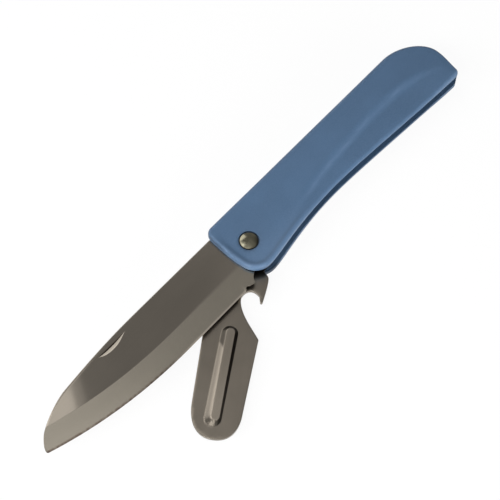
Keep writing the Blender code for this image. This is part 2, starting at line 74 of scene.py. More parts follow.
# Levels through the thickness
FRONT_FACE = level("front_scale", True)
FRONT_SEAM = level("front_scale", False)
BLADE_LOW = level("main_blade", False)
BLADE_HIGH = level("main_blade", True)
LEAF_LOW = level("bottle_opener", False)
RIB_CREST = level("bottle_opener", True)
SEAM_GAP = 0.2 * MM
BACK_SEAM = FRONT_SEAM - SEAM_GAP
LEAF_THICKNESS = 1.4 * MM
LEAF_HIGH = LEAF_LOW + LEAF_THICKNESS
TURNING_GAP = 0.1 * MM
SEAT_GAP = 0.1 * MM
WALL_GAP = 0.15 * MM
FRONT_WALL = BLADE_HIGH + WALL_GAP
BACK_WALL = LEAF_LOW - WALL_GAP
FRONT_RECESS = level("front_washer", True) + TURNING_GAP
BACK_RECESS = level("spring_washer", False) - TURNING_GAP
RECESS_RADIUS = 5.0 * MM

# How far each tool is turned out of the slot
BLADE_TURN = math.radians(180.0)
LEAF_TURN = math.radians(214.5)

# Handle outline. Each BACK is how far a round stands behind the furthest point at its end.
HANDLE_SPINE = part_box("front_scale")[1].y
BUTT_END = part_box("front_scale")[1].x
FRONT_REACH = 8.95 * MM
NOSE_DEPTH = 11.0 * MM
NOSE_RADIUS = 7.3 * MM
WAIST_PLACE = 37.7 * MM
WAIST_DEPTH = 7.6 * MM
BUTT_DEPTH = 11.2 * MM
FRONT_CORNER = 3.0 * MM
BUTT_CORNER = 2.0 * MM
BUTT_ROUND = 17.0 * MM
CORNER_BACK = 0.75 * MM
NOSE_BACK = 0.7 * MM
BUTT_BACK = 1.5 * MM

# Slot, stops, locating peg and the tongue inside the seam
WEB = 1.85 * MM
BUTT_WALL = 2.3 * MM
WEB_FACE = HANDLE_SPINE - WEB
SLOT_END = BUTT_END - BUTT_WALL
PAD_FACE = 11.55 * MM
PAD_LENGTH = 12.0 * MM
LUG_START = 10.8 * MM
LUG_END = 16.0 * MM
LUG_FACE = 8.7 * MM
GUSSET_LENGTH = 18.0 * MM
GUSSET_DROP = 7.0 * MM
PEG_RADIUS = 1.0 * MM
PEG_INSET = 9.0 * MM
PEG_ABOVE_GUSSET = 2.1 * MM
PEG_TIP = level("back_scale", True)
PEG_PLACE = (SLOT_END - PEG_INSET,
             WEB_FACE - GUSSET_DROP * (1 - PEG_INSET / GUSSET_LENGTH) + PEG_ABOVE_GUSSET)
OVERSHOOT = 6.0 * MM
WEB_LEAD = 0.5 * MM
NOSE_LIP = 0.09 * MM
TONGUE_INSET = 0.48 * MM
TONGUE_RISE = SEAM_GAP - 0.01 * MM

# Palm scoop in each outer face
SCOOP_START = 14.0 * MM
SCOOP_END = 103.0 * MM
SCOOP_FADE = 20.0 * MM
CREST_PLACE = 70.0 * MM
CREST_HEIGHT = 0.55 * MM
CREST_FALL_FRONT = 3.05 / 40.0**2 / MM
CREST_FALL_BUTT = 1.55 / 20.0**3 / MM**2
ROLL_ABOVE = 3.0 * MM
ROLL_BELOW = 1.7 * MM

# Rivet and its seats
SHANK_RADIUS = 1.5 * MM
TOOL_HOLE = 1.58 * MM
HEAD_RADIUS = 3.22 * MM
HEAD_SEAT = 3.6 * MM
HEAD_SEAT_FLOOR = FRONT_FACE - 0.9 * MM
TAIL_RADIUS = 2.3 * MM
TAIL_THICKNESS = 0.5 * MM
TAIL_SEAT = 3.3 * MM
TAIL_SEAT_FLOOR = 1.2 * MM
SEAT_EDGE = 0.14 * MM
WASHER_DISH = 0.2 * MM

# Main blade
BLADE_REACH = 100.0 * MM
BLADE_SPINE = 11.25 * MM
BLADE_EDGE = 11.2 * MM
BLADE_HEEL = 14.3 * MM
KICK_START = 6.0 * MM
NOTCH_RADIUS = 0.95 * MM
SPINE_STRAIGHT = 48.0 * MM
SPINE_DROP = 2.1 * MM
BELLY_START = 40.0 * MM
BELLY_RISE = 9.3 * MM
BELLY_POWER = 2.2
TANG_RADIUS = 9.85 * MM

# Bottle-opener leaf
LEAF_REACH = 71.0 * MM
LEAF_SPINE = 11.25 * MM
LEAF_FLARE = 0.15 * MM
PRONG_REACH = 20.6 * MM
PRONG_HEIGHT = 8.4 * MM
FULCRUM_REACH = 34.2 * MM
FULCRUM_HEIGHT = 7.8 * MM
NOTCH_PLACE = 19.6 * MM
NOTCH_FLOOR = 0.15 * MM
RIB_FOOT = [(33.3 * MM, -2.3 * MM), (64.1 * MM, -3.75 * MM)]
RIB_FOOT_RADIUS = 3.05 * MM
RIB_TOP = [(32.9 * MM, -1.85 * MM), (63.2 * MM, -2.8 * MM)]
RIB_TOP_RADIUS = 1.35 * MM
RIB_HEIGHT = RIB_CREST - LEAF_HIGH
RIB_SLANT = 0.033

# Overhead lamps: place, width, depth, turn in degrees, and how bright each looks. The blade's bevel
# mirrors the first five, brighter towards the tip, and its flat mirrors the next two there. The last is
# a narrow window that the rivet's dome, the rib and the tip's edge catch.
OVERHEADS = (
    ((-0.05, 0.09, 0.99), 1.10, 0.38, 0.0, 0.12),
    ((-0.18, 0.03, 1.00), 0.84, 0.26, 0.0, 0.12),
    ((-0.225, 0.03, 1.01), 0.75, 0.26, 0.0, 0.15),
    ((-0.26, 0.03, 1.02), 0.68, 0.26, 0.0, 0.20),
    ((-0.28, 0.03, 1.05), 0.67, 0.26, 0.0, 0.09),
    ((-0.030, 0.418, 1.03), 0.30, 0.24, -30.0, 0.27),
    ((-0.043, 0.421, 1.04), 0.30, 0.24, -30.0, 0.66),
    ((-0.115, 0.50, 1.06), 0.19, 0.50, -10.0, 2.0),
)

# Dark corner of the room: where it lies, how nearly a look has to point there for the walls to start
# and to finish darkening, and its level
CORNER_WAY = (0.77, -0.36, 0.53)
CORNER_EDGE = 0.76
CORNER_CORE = 0.93
CORNER_LEVEL = 0.04

# Floor, lens and where the camera stands
FLOOR_HALF = 3.0
FLOOR_DROP = 0.02 * MM
SENSOR_WIDTH = 36.0
FOCAL_LENGTH = 95.4
CAMERA_PLACE = (-0.1511, -0.1366, 0.4236)
CAMERA_RIGHT = (0.6693, -0.7430, 0.0)
CAMERA_UP = (0.6690, 0.6026, 0.4352)
CAMERA_AHEAD = (0.3234, 0.2913, -0.9003)

# How finely the meshes are drawn. Points closer than a share of the pitch are crowded, and the lattice
# keeps clear of the rows by another share. Points closer than the two reaches are joined.
CURVE_STEPS = 40
HOLE_STEPS = 96
BORE_STEPS = 64
CROWDED_SHARE = 0.25
LATTICE_CLEARANCE = 0.6
STEP_HALF = 0.012 * MM
CREASE_HALF = 0.06 * MM
MERGE_REACH = 0.001 * MM
PLAN_REACH_MM = 1e-4
SHARP_ANGLE = math.radians(25.0)


# ---------------------------------------------------------------- settings


def length(name, description, default):
    """A length that the sidebar shows."""
    return FloatProperty(name=name, description=description, default=default, min=0.0,
                         unit="LENGTH", precision=5)


def share(name, description, default):
    """A number from 0 to 1 that the sidebar shows."""
    return FloatProperty(name=name, description=description, default=default, min=0.0, max=1.0,
                         subtype="FACTOR")


def whole_number(name, description, default):
    """A number of faces that the sidebar shows."""
    return IntProperty(name=name, description=description, default=default, min=12)


def colour(name, description, default):
    """A linear colour that the sidebar shows."""
    return FloatVectorProperty(name=name, description=description, default=default, size=3,
                               min=0.0, max=1.0, subtype="COLOR")


class HandleSettings(PropertyGroup):
    """Sizes and colours of the handle's two moulded halves."""

    edge_rounding: length("Edge rounding", "Radius round the front face", 1.3 * MM)
    back_rounding: length("Back rounding", "Radius round the back face", 0.8 * MM)
    back_setback: length("Back setback", "How much shorter the back half is at the nose", 1.8 * MM)
    back_drop: length("Back drop", "How much lower the back half's underside stands", 0.2 * MM)
    mouth_rounding: length("Slot mouth rounding", "Radius along the lips of the slot", 0.12 * MM)
    seam_rounding: length("Seam rounding", "Radius where the two halves meet", 0.15 * MM)
    nose_rounding: length("Nose rounding", "Radius round the nose, where it is tighter", 1.1 * MM)
    edge_step: length("Edge step", "Height of the low step inside the underside's edge", 0.05 * MM)
    scoop_depth: length("Scoop depth", "How deep the palm scoop is pressed in", 0.95 * MM)
    nose_groove: length("Nose groove", "Depth of the shallow groove inside the nose's edge", 0.2 * MM)
    mesh_pitch: length("Mesh pitch", "Spacing of the points on the faces", 0.8 * MM)
    blue: colour("Blue", "Colour of the moulding", (0.0515, 0.1055, 0.191))
    deep_blue: colour("Deep blue", "Colour of the darker patches", (0.047, 0.097, 0.176))
    # This pale blue marks worn edges and also paints highlights on the rims, the scoop's fold and round the
    # nose.
    wear_and_highlight_blue: colour("Worn blue", "Colour where hands have rubbed the edges", (0.118, 0.184, 0.288))
    roughness: share("Roughness", "Satin finish of the mould", 0.52)


class BladeSettings(PropertyGroup):
    """Sizes and colours of the main blade."""

    edge_rounding: length("Spine rounding", "Radius along the spine and the tang", 0.14 * MM)
    grind_at_heel: length("Grind at heel", "Width of the ground bevel at the heel", 8.1 * MM)
    grind_at_tip: length("Grind at tip", "Width of the ground bevel at the tip", 8.4 * MM)
    edge_thickness: length("Edge thickness", "Thickness that the grind leaves", 0.25 * MM)
    cutting_width: length("Cutting bevel", "Width of the honed bevel", 0.85 * MM)
    cutting_thickness: length("Cutting edge", "Thickness of the honed edge", 0.05 * MM)
    nick_place: length("Nick place", "Distance from the pivot to the nail nick's middle", 59.2 * MM)
    nick_length: length("Nick length", "Length of the nail nick", 12.4 * MM)
    nick_width: length("Nick width", "Width of the nail nick at its middle", 1.65 * MM)
    nick_depth: length("Nick depth", "Depth of the nail nick", 0.5 * MM)
    nick_below_spine: length("Nick below spine", "Distance of the nick from the spine", 2.15 * MM)
    mesh_pitch: length("Mesh pitch", "Spacing of the points on the faces", 1.0 * MM)
    steel: colour("Steel", "Colour of the satin flats", (0.322, 0.286, 0.24))
    ground: colour("Ground steel", "Colour of the ground bevel", (0.347, 0.314, 0.260))
    roughness: share("Roughness", "Polish of the flats", 0.045)


class LeafSettings(PropertyGroup):
    """Sizes and colours of the opener leaf."""

    edge_rounding: length("Edge rounding", "Radius that stamping leaves round the front face", 0.14 * MM)
    burr_rounding: length("Back edge rounding", "Radius round the back face", 0.08 * MM)
    hollow_inset: length("Hollow inset", "How much narrower the rib is at the back", 0.3 * MM)
    mesh_pitch: length("Mesh pitch", "Spacing of the points on the faces", 0.9 * MM)
    steel: colour("Steel", "Colour of the pressed steel", (0.272, 0.239, 0.197))
    roughness: share("Roughness", "Tumbled finish", 0.285)


class RivetSettings(PropertyGroup):
    """Sizes and colours of the rivet, burr and washers."""

    head_dome: length("Head dome", "Rise of the rivet head's middle over its rim", 0.42 * MM)
    rim_rounding: length("Rim rounding", "Radius on the corners of turned pieces", 0.08 * MM)
    steps_around: whole_number("Steps around", "Faces round each turned piece", 96)
    steps_along: whole_number("Steps along", "Faces along each profile", 120)
    rivet: colour("Rivet", "Colour of the handled rivet", (0.25, 0.235, 0.17))
    zinc: colour("Zinc", "Colour of the plated burr", (0.50, 0.50, 0.47))
    brass: colour("Brass", "Colour of the washers", (0.58, 0.43, 0.19))
    spring: colour("Spring steel", "Colour of the dished washer", (0.12, 0.12, 0.13))


class StudioSettings(PropertyGroup):
    """Light and floor of the studio."""

    room_level: share("Room level", "Brightness of the even light", 0.35)
    floor: colour("Floor", "Colour of the floor", (0.86, 0.86, 0.86))


# ---------------------------------------------------------------- drawing


def arc(centre, radius, start, end, steps=CURVE_STEPS):
    """Points on a round stretch, from one angle to another in degrees."""
    angles = [math.radians(start + (end - start) * i / steps) for i in range(steps + 1)]
    return [(centre[0] + radius * math.cos(a), centre[1] + radius * math.sin(a)) for a in angles]


def curve(start, handle_a, handle_b, end, steps=CURVE_STEPS):
    """Points on a cubic curve, without its first point."""
    points = []
    for i in range(1, steps + 1):
        t = i / steps
        weights = ((1 - t) ** 3, 3 * (1 - t) ** 2 * t, 3 * (1 - t) * t**2, t**3)
        corners = (start, handle_a, handle_b, end)
        points.append(tuple(sum(w * c[k] for w, c in zip(weights, corners)) for k in (0, 1)))
    return points


def between(start, end, part):
    """The point at a part of the way from one point to another."""
    return (start[0] + (end[0] - start[0]) * part, start[1] + (end[1] - start[1]) * part)


def straight(start, end, steps):
    """Points on a straight stretch, its two ends included."""
    return [between(start, end, i / steps) for i in range(steps + 1)]


def hole(radius, steps=HOLE_STEPS, centre=(0.0, 0.0)):
    """A round hole's outline, clockwise, so that its left side is the material."""
    return arc(centre, radius, 360, 0, steps)[:-1]


def spaced(line, pitch):
    """A closed line without crowded points and with one at least at every pitch."""
    crowded = CROWDED_SHARE * pitch
    kept = [line[0]]
    for point in line[1:]:
        if math.dist(point, kept[-1]) > crowded:
            kept.append(point)
    if math.dist(kept[-1], kept[0]) < crowded:
        kept.pop()
    points = []
    for a, b in zip(kept, kept[1:] + kept[:1]):
        points += straight(a, b, max(1, math.ceil(math.dist(a, b) / pitch)))[:-1]
    return points


def shifted(line, distance):
    """A closed line moved to its left by a distance."""
    points = np.array(line)
    ahead = np.roll(points, -1, 0) - points
    ahead /= np.linalg.norm(ahead, axis=1)[:, None]
    across = ahead + np.roll(ahead, 1, 0)
    normal = np.stack([-across[:, 1], across[:, 0]], 1)
    normal /= np.maximum((normal**2).sum(1), 0.5)[:, None] / 2
    moved = points + normal * distance
    return [tuple(p) for p in moved]


def ring(line):
    """A closed line as a row that ends where it began."""
    return line + line[:1]


def rings(line, distances):
    """Rows at several distances to the left of a closed line."""
    return [ring(shifted(line, distance)) for distance in distances]


def row(x, y):
    """A row through arrays of x and y."""
    return list(zip(x.tolist(), y.tolist()))


def rounding_rows(rim, radius, steps):
    """The rows that an edge rounding needs along a rim."""
    angles = [math.radians(90 * k / steps) for k in range(1, steps + 1)]
    return rings(rim, [radius * (1 - math.cos(a)) for a in angles])


def step_rows(line):
    """The two rows at the top and the foot of an upright step along a closed line."""
    return rings(line, (-STEP_HALF, STEP_HALF))


# ---------------------------------------------------------------- measuring


def ramp(value, start, end):
    """How far a value has come from a start to an end, from 0 to 1."""
    return np.clip((value - start) / (end - start), 0, 1)


def near(value, centre, reach):
    """How near a value is to a centre, from 1 there to 0 at a reach away."""
    return np.clip(1 - np.abs(value - centre) / reach, 0, 1)


def distance_to(x, y, line, closed=True):
    """Each point's distance from the nearest stretch of a line."""
    a = np.array(line)
    b = np.roll(a, -1, 0)
    if not closed:
        a, b = a[:-1], b[:-1]
    run = b - a
    square = (run**2).sum(1)
    nearest = np.empty(len(x))
    batch = 2000
    for first in range(0, len(x), batch):
        part = slice(first, first + batch)
        dx = x[part, None] - a[None, :, 0]
        dy = y[part, None] - a[None, :, 1]
        t = np.clip((dx * run[:, 0] + dy * run[:, 1]) / square, 0, 1)
        nearest[part] = np.hypot(dx - t * run[:, 0], dy - t * run[:, 1]).min(1)
    return nearest


def within(x, y, lines):
    """Whether each point is inside an odd number of closed lines."""
    odd = np.zeros(len(x), bool)
    for line in lines:
        a = np.array(line)
        b = np.roll(a, -1, 0)
        for (ax, ay), (bx, by) in zip(a, b):
            if ay != by:
                crossed = (ay > y) != (by > y)
                odd ^= crossed & (x < ax + (y - ay) * (bx - ax) / (by - ay))
    return odd


def rounded(inset, radius):
    """How far a rounded edge lies below its face, by the distance in from the rim."""
    reach = np.clip(1 - inset / radius, 0, 1)
    return radius * (1 - np.sqrt(1 - reach**2))


def eased(run):
    """A slope from 0 to 1 whose two ends are rounded."""
    softness = 0.2
    steep = 1 / (1 - softness)
    foot = run**2 / (2 * softness) * steep
    head = 1 - (1 - run) ** 2 / (2 * softness) * steep
    return np.where(run < softness, foot, np.where(run > 1 - softness, head, (run - softness / 2) * steep))


# ---------------------------------------------------------------- making meshes


def lattice(rims, taken, pitch):
    """Points in a triangular pattern inside the rims, clear of the points already taken."""
    low = np.min(rims[0], 0)
    high = np.max(rims[0], 0)
    points = []
    for j, y in enumerate(np.arange(low[1], high[1], pitch * math.sqrt(0.75))):
        shift = (j % 2) * pitch / 2
        points += [(x + shift, y) for x in np.arange(low[0], high[0], pitch)]
    x, y = np.array(points).T
    inside = within(x, y, rims)
    tree = KDTree(len(taken))
    for i, point in enumerate(taken):
        tree.insert((*point, 0), i)
    tree.balance()
    clearance = LATTICE_CLEARANCE * pitch
    return [p for p, keep in zip(points, inside) if keep and tree.find((*p, 0))[2] > clearance]


def plate(name, rims, rows, pitch, top, bottom):
    """A closed plate whose two faces follow height rules.

    rims holds the outline and then the holes. rows are further lines that the faces' edges follow.
    top and bottom turn arrays of x and y into heights.
    """
    points, links = [], []
    for line in [ring(rim) for rim in rims] + rows:
        first = len(points)
        points += line
        links += [(first + i, first + i + 1) for i in range(len(line) - 1)]
    points += lattice(rims, points, pitch)
    drawn = [Vector((x / MM, y / MM)) for x, y in points]
    corners, _, faces, _, _, _ = delaunay_2d_cdt(drawn, links, [], 0, PLAN_REACH_MM, False)
    plan = np.array([tuple(c) for c in corners]) * MM
    faces = np.array([tuple(f) for f in faces])
    middle = plan[faces].mean(1)
    faces = faces[within(middle[:, 0], middle[:, 1], rims)]
    used, faces = np.unique(faces, return_inverse=True)
    faces = faces.reshape(-1, 3)
    x, y = plan[used].T
    count = len(used)
    heights = np.concatenate([top(x, y), bottom(x, y)])
    coords = np.stack([np.tile(x, 2), np.tile(y, 2), heights], 1)
    sides = {(f[i], f[(i + 1) % 3]) for f in faces.tolist() for i in range(3)}
    walls = [(a + count, b + count, b, a) for a, b in sides if (b, a) not in sides]
    polygons = faces.tolist() + (faces[:, ::-1] + count).tolist() + sorted(walls)
    mesh = bpy.data.meshes.new(name)
    mesh.from_pydata(coords.tolist(), [], polygons)
    return placed(name, mesh)


def placed(name, data):
    """A new object of a mesh, lamp or camera, in the scene."""
    thing = bpy.data.objects.new(name, data)
    bpy.context.scene.collection.objects.link(thing)
    return thing


def smoothed(thing):
    """Smooth shading with crisp edges where two faces meet at an angle."""
    form = bmesh.new()
    form.from_mesh(thing.data)
    for face in form.faces:
        face.smooth = True
    for edge in form.edges:
        edge.smooth = len(edge.link_faces) == 2 and edge.calc_face_angle(0.0) < SHARP_ANGLE
    form.to_mesh(thing.data)
    form.free()


def marked(thing, name, values):
    """Stores a number at each of a mesh's points."""
    attribute = thing.data.attributes.new(name, "FLOAT", "POINT")
    attribute.data.foreach_set("value", np.asarray(values, np.float32))


def coordinates(thing):
    """A mesh's points as an array."""
    flat = np.empty(len(thing.data.vertices) * 3)
    thing.data.vertices.foreach_get("co", flat)
    return flat.reshape(-1, 3)


def dressed(thing, finish, body, node):
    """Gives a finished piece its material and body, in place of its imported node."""
    thing.data.materials.clear()
    thing.data.materials.append(finish)
    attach(thing, body)
    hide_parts(node)


# ---------------------------------------------------------------- geometry trees


class Recipe:
    """A Geometry Nodes tree with a geometry input, named sizes and a material."""

    def __init__(self, name, sizes):
        self.tree = bpy.data.node_groups.new(name, "GeometryNodeTree")
        face = self.tree.interface
        face.new_socket("Geometry", in_out="INPUT", socket_type="NodeSocketGeometry")
        for label, kind in sizes.items():
            face.new_socket(label, in_out="INPUT", socket_type=kind)
        face.new_socket("Material", in_out="INPUT", socket_type="NodeSocketMaterial")
        face.new_socket("Geometry", in_out="OUTPUT", socket_type="NodeSocketGeometry")
        self.start = self.tree.nodes.new("NodeGroupInput").outputs

    def node(self, kind, inputs=(), **options):
        """A node with its options and inputs set; an input is a number or another node's output."""
        made = self.tree.nodes.new(kind)
        for option, value in options.items():
            setattr(made, option, value)
        for key, value in dict(inputs).items():
            if isinstance(value, bpy.types.NodeSocket):
                self.tree.links.new(value, made.inputs[key])
            else:
                made.inputs[key].default_value = value
        return made

    def sum(self, operation, *values):
        """The result of one sum."""
        return self.node("ShaderNodeMath", enumerate(values), operation=operation).outputs[0]

    def finish(self, geometry):
        """Ends the tree with its instances realized and its material set."""
        real = self.node("GeometryNodeRealizeInstances", {"Geometry": geometry})
        paint = {"Geometry": real.outputs[0], "Material": self.start["Material"]}
        painted = self.node("GeometryNodeSetMaterial", paint)
        end = self.tree.nodes.new("NodeGroupOutput")
        self.tree.links.new(painted.outputs[0], end.inputs["Geometry"])

    def baked(self, thing, finish, sizes):
        """Runs the tree on an object and leaves the object a plain mesh."""
        step = thing.modifiers.new(self.tree.name, "NODES")
        step.node_group = self.tree
        items = self.tree.interface.items_tree
        sockets = {item.name: item.identifier for item in items if item.in_out == "INPUT"}
        for label, value in sizes.items():
            step[sockets[label]] = value
        step[sockets["Material"]] = finish
        evaluated = thing.evaluated_get(bpy.context.evaluated_depsgraph_get())
        mesh = bpy.data.meshes.new_from_object(evaluated)
        thing.modifiers.remove(step)
        mesh.name = thing.name
        thing.data = mesh


def lathe():
    """A tree that turns a profile of radius and level about the Z axis."""
    recipe = Recipe("lathe", {"Steps Around": "NodeSocketInt", "Steps Along": "NodeSocketInt"})
    profile = recipe.node("GeometryNodeMeshToCurve", {"Mesh": recipe.start["Geometry"]}).outputs[0]
    around = recipe.sum("ADD", recipe.start["Steps Around"], 1)
    along = recipe.sum("ADD", recipe.start["Steps Along"], 1)
    sizes = {"Size X": 1.0, "Size Y": 1.0, "Vertices X": around, "Vertices Y": along}
    sheet = recipe.node("GeometryNodeMeshGrid", sizes).outputs["Mesh"]
    place = recipe.node("GeometryNodeInputPosition").outputs[0]
    split = recipe.node("ShaderNodeSeparateXYZ", {0: place}).outputs
    angle = recipe.sum("MULTIPLY", recipe.sum("ADD", split[0], 0.5), math.tau)
    factor = recipe.sum("ADD", split[1], 0.5)
    sample = recipe.node("GeometryNodeSampleCurve", {"Curves": profile, "Factor": factor}, mode="FACTOR")
    corner = recipe.node("ShaderNodeSeparateXYZ", {0: sample.outputs["Position"]}).outputs
    x = recipe.sum("MULTIPLY", corner[0], recipe.sum("COSINE", angle))
    y = recipe.sum("MULTIPLY", corner[0], recipe.sum("SINE", angle))
    turned = recipe.node("ShaderNodeCombineXYZ", {0: x, 1: y, 2: corner[2]}).outputs[0]
    shaped = recipe.node("GeometryNodeSetPosition", {"Geometry": sheet, "Position": turned}).outputs[0]
    merged = recipe.node("GeometryNodeMergeByDistance", {"Geometry": shaped, "Distance": MERGE_REACH})
    recipe.finish(merged.outputs[0])
    return recipe


def grinder(labels):
    """A tree with the labelled sizes that grinds both sides of a flat blade blank down to its edge."""
    recipe = Recipe("blade_grind", {label: "NodeSocketFloat" for label in labels})
    size = recipe.start
    position = recipe.node("GeometryNodeInputPosition").outputs[0]
    place = recipe.node("ShaderNodeSeparateXYZ", {0: position}).outputs
    run = recipe.sum("SUBTRACT", size["Reach"], size["Belly Start"])
    past = recipe.sum("DIVIDE", recipe.sum("SUBTRACT", place[0], size["Belly Start"]), run)
    belly = recipe.sum("MAXIMUM", past, 0.0)
    rise = recipe.sum("MULTIPLY", recipe.sum("POWER", belly, size["Belly Power"]), size["Belly Rise"])
    edge = recipe.sum("SUBTRACT", size["Edge Height"], rise)
    spread = recipe.sum("SUBTRACT", size["Width at Tip"], size["Width at Heel"])
    width = recipe.sum("MULTIPLY_ADD", spread, belly, size["Width at Heel"])
    from_edge = recipe.sum("DIVIDE", recipe.sum("SUBTRACT", edge, place[1]), width)
    half = recipe.sum("MULTIPLY", size["Thickness"], 0.5)
    edge_half = recipe.sum("MULTIPLY", size["Edge Thickness"], 0.5)
    slope = recipe.sum("SUBTRACT", half, edge_half)
    ground = recipe.sum("MULTIPLY_ADD", recipe.sum("MAXIMUM", from_edge, 0.0), slope, edge_half)
    name = {"Name": "from_cutting_edge"}
    inset = recipe.node("GeometryNodeInputNamedAttribute", name, data_type="FLOAT").outputs[0]
    honed_half = recipe.sum("MULTIPLY", size["Cutting Thickness"], 0.5)
    honed_slope = recipe.sum("DIVIDE", edge_half, size["Cutting Width"])
    honed = recipe.sum("MULTIPLY_ADD", inset, honed_slope, honed_half)
    above = recipe.sum("SUBTRACT", place[2], size["Middle"])
    blank = recipe.sum("ABSOLUTE", above)
    left = recipe.sum("MINIMUM", recipe.sum("MINIMUM", ground, honed), blank)
    height = recipe.sum("MULTIPLY_ADD", recipe.sum("SIGN", above), left, size["Middle"])
    moved = recipe.node("ShaderNodeCombineXYZ", {0: place[0], 1: place[1], 2: height}).outputs[0]
    shaped = recipe.node("GeometryNodeSetPosition", {"Geometry": size["Geometry"], "Position": moved})
    recipe.finish(shaped.outputs[0])
    return recipe


# ---------------------------------------------------------------- materials


class Finish:
    """A procedural material under construction, on object coordinates and the mesh's own marks."""

    def __init__(self, name, roughness, metallic):
        self.material = bpy.data.materials.new(name)
        self.material.use_nodes = True
        self.nodes = self.material.node_tree.nodes
        self.links = self.material.node_tree.links
        self.shader = self.nodes["Principled BSDF"]
        self.shader.inputs["Roughness"].default_value = roughness
        self.shader.inputs["Metallic"].default_value = metallic
        self.place = self.nodes.new("ShaderNodeTexCoord").outputs["Object"]
        self.slope = None

    def feed(self, socket, value):
        """Sets an input to a number, a colour or another node's output."""
        if isinstance(value, bpy.types.NodeSocket):
            self.links.new(value, socket)
        elif hasattr(socket.default_value, "__len__") and len(socket.default_value) == 4:
            socket.default_value = (*value, 1.0)
        else:
            socket.default_value = value

    def noise(self, scale, detail, stretch=(1.0, 1.0, 1.0), turn=0.0):
        """Soft random tone from 0 to 1, finer along the axes that are stretched more."""
        mapping = self.nodes.new("ShaderNodeMapping")
        mapping.vector_type = "TEXTURE"
        mapping.inputs["Rotation"].default_value = (0.0, 0.0, turn)
        self.links.new(self.place, mapping.inputs["Vector"])
        drawn = self.nodes.new("ShaderNodeVectorMath")
        drawn.operation = "MULTIPLY"
        drawn.inputs[1].default_value = stretch
        self.links.new(mapping.outputs[0], drawn.inputs[0])
        texture = self.nodes.new("ShaderNodeTexNoise")
        texture.inputs["Scale"].default_value = scale
        texture.inputs["Detail"].default_value = detail
        self.links.new(drawn.outputs[0], texture.inputs["Vector"])
        return texture.outputs[0]

    def mark(self, name):
        """A number that the mesh carries at its points."""
        attribute = self.nodes.new("ShaderNodeAttribute")
        attribute.attribute_name = name
        return attribute.outputs["Fac"]

    def span(self, value, low, high, to_low=0.0, to_high=1.0):
        """A value's stretch from low to high, spread from one number to another."""
        node = self.nodes.new("ShaderNodeMapRange")
        for key, number in zip(("From Min", "From Max", "To Min", "To Max"), (low, high, to_low, to_high)):
            node.inputs[key].default_value = number
        self.links.new(value, node.inputs["Value"])
        return node.outputs[0]

    def sum(self, operation, a, b):
        """The result of one sum."""
        node = self.nodes.new("ShaderNodeMath")
        node.operation = operation
        self.feed(node.inputs[0], a)
        self.feed(node.inputs[1], b)
        return node.outputs[0]

    def blend(self, amount, a, b):
        """One colour turning into another."""
        node = self.nodes.new("ShaderNodeMix")
        node.data_type = "RGBA"
        self.feed(node.inputs["Factor"], amount)
        colours = [socket for socket in node.inputs if socket.type == "RGBA"]
        self.feed(colours[0], a)
        self.feed(colours[1], b)
        return [socket for socket in node.outputs if socket.type == "RGBA"][0]

    def bump(self, height, strength, depth):
        """Adds a fine relief to the surface."""
        node = self.nodes.new("ShaderNodeBump")
        node.inputs["Strength"].default_value = strength
        node.inputs["Distance"].default_value = depth
        self.links.new(height, node.inputs["Height"])
        if self.slope is not None:
            self.links.new(self.slope, node.inputs["Normal"])
        self.slope = node.outputs[0]

    def done(self, base, roughness):
        """Joins the colour, roughness and relief to the shader."""
        self.feed(self.shader.inputs["Base Color"], base)
        self.feed(self.shader.inputs["Roughness"], roughness)
        if self.slope is not None:
            self.links.new(self.slope, self.shader.inputs["Normal"])
        return self.material


def shade(tone, amount):
    """A colour made darker or lighter by a factor, or by one for each channel."""
    return [min(1.0, channel) for channel in np.multiply(tone, amount).tolist()]


def moulded_plastic(knob):
    """Satin blue moulding with faint flow patches, fine grain, worn edges, painted highlights and painted
    shade.
    """
    finish = Finish("satin_blue_moulding", knob.roughness, 0.0)
    patches = finish.span(finish.noise(70.0, 3.0, (1.0, 1.6, 1.0)), 0.35, 0.65)
    base = finish.blend(patches, knob.deep_blue, knob.blue)
    grain = finish.noise(2600.0, 2.0)
    fleck = finish.span(grain, 0.3, 0.7, 0.0, 0.22)
    base = finish.blend(fleck, base, knob.wear_and_highlight_blue)
    # Painted light: paler round the nose's underside, where more light falls, with a painted highlight on
    # the nose's front wall.
    base = finish.blend(finish.sum("MULTIPLY", finish.mark("painted_nose_light"), 0.2), base, knob.wear_and_highlight_blue)
    # Worn edges, and a painted highlight along the rims and along the scoop's fold.
    scuffs = finish.span(finish.noise(420.0, 4.0, (0.25, 1.0, 1.0)), 0.5, 0.72)
    wear_and_highlight = finish.sum("MULTIPLY", finish.mark("wear_and_highlight"), finish.span(scuffs, 0.0, 1.0, 0.35, 1.0))
    base = finish.blend(wear_and_highlight, base, knob.wear_and_highlight_blue)
    # Painted shade: the marked places turn towards a very dark blue.
    base = finish.blend(finish.mark("painted_shade"), base, shade(knob.deep_blue, 0.2))
    low, high = knob.roughness - 0.05, knob.roughness + 0.09
    roughness = finish.span(finish.noise(160.0, 4.0), 0.3, 0.7, low, high)
    roughness = finish.sum("SUBTRACT", roughness, finish.sum("MULTIPLY", wear_and_highlight, 0.08))
    finish.bump(grain, 0.12, 0.02 * MM)
    finish.bump(finish.noise(240.0, 2.0), 0.1, 0.04 * MM)
    return finish.done(base, roughness)


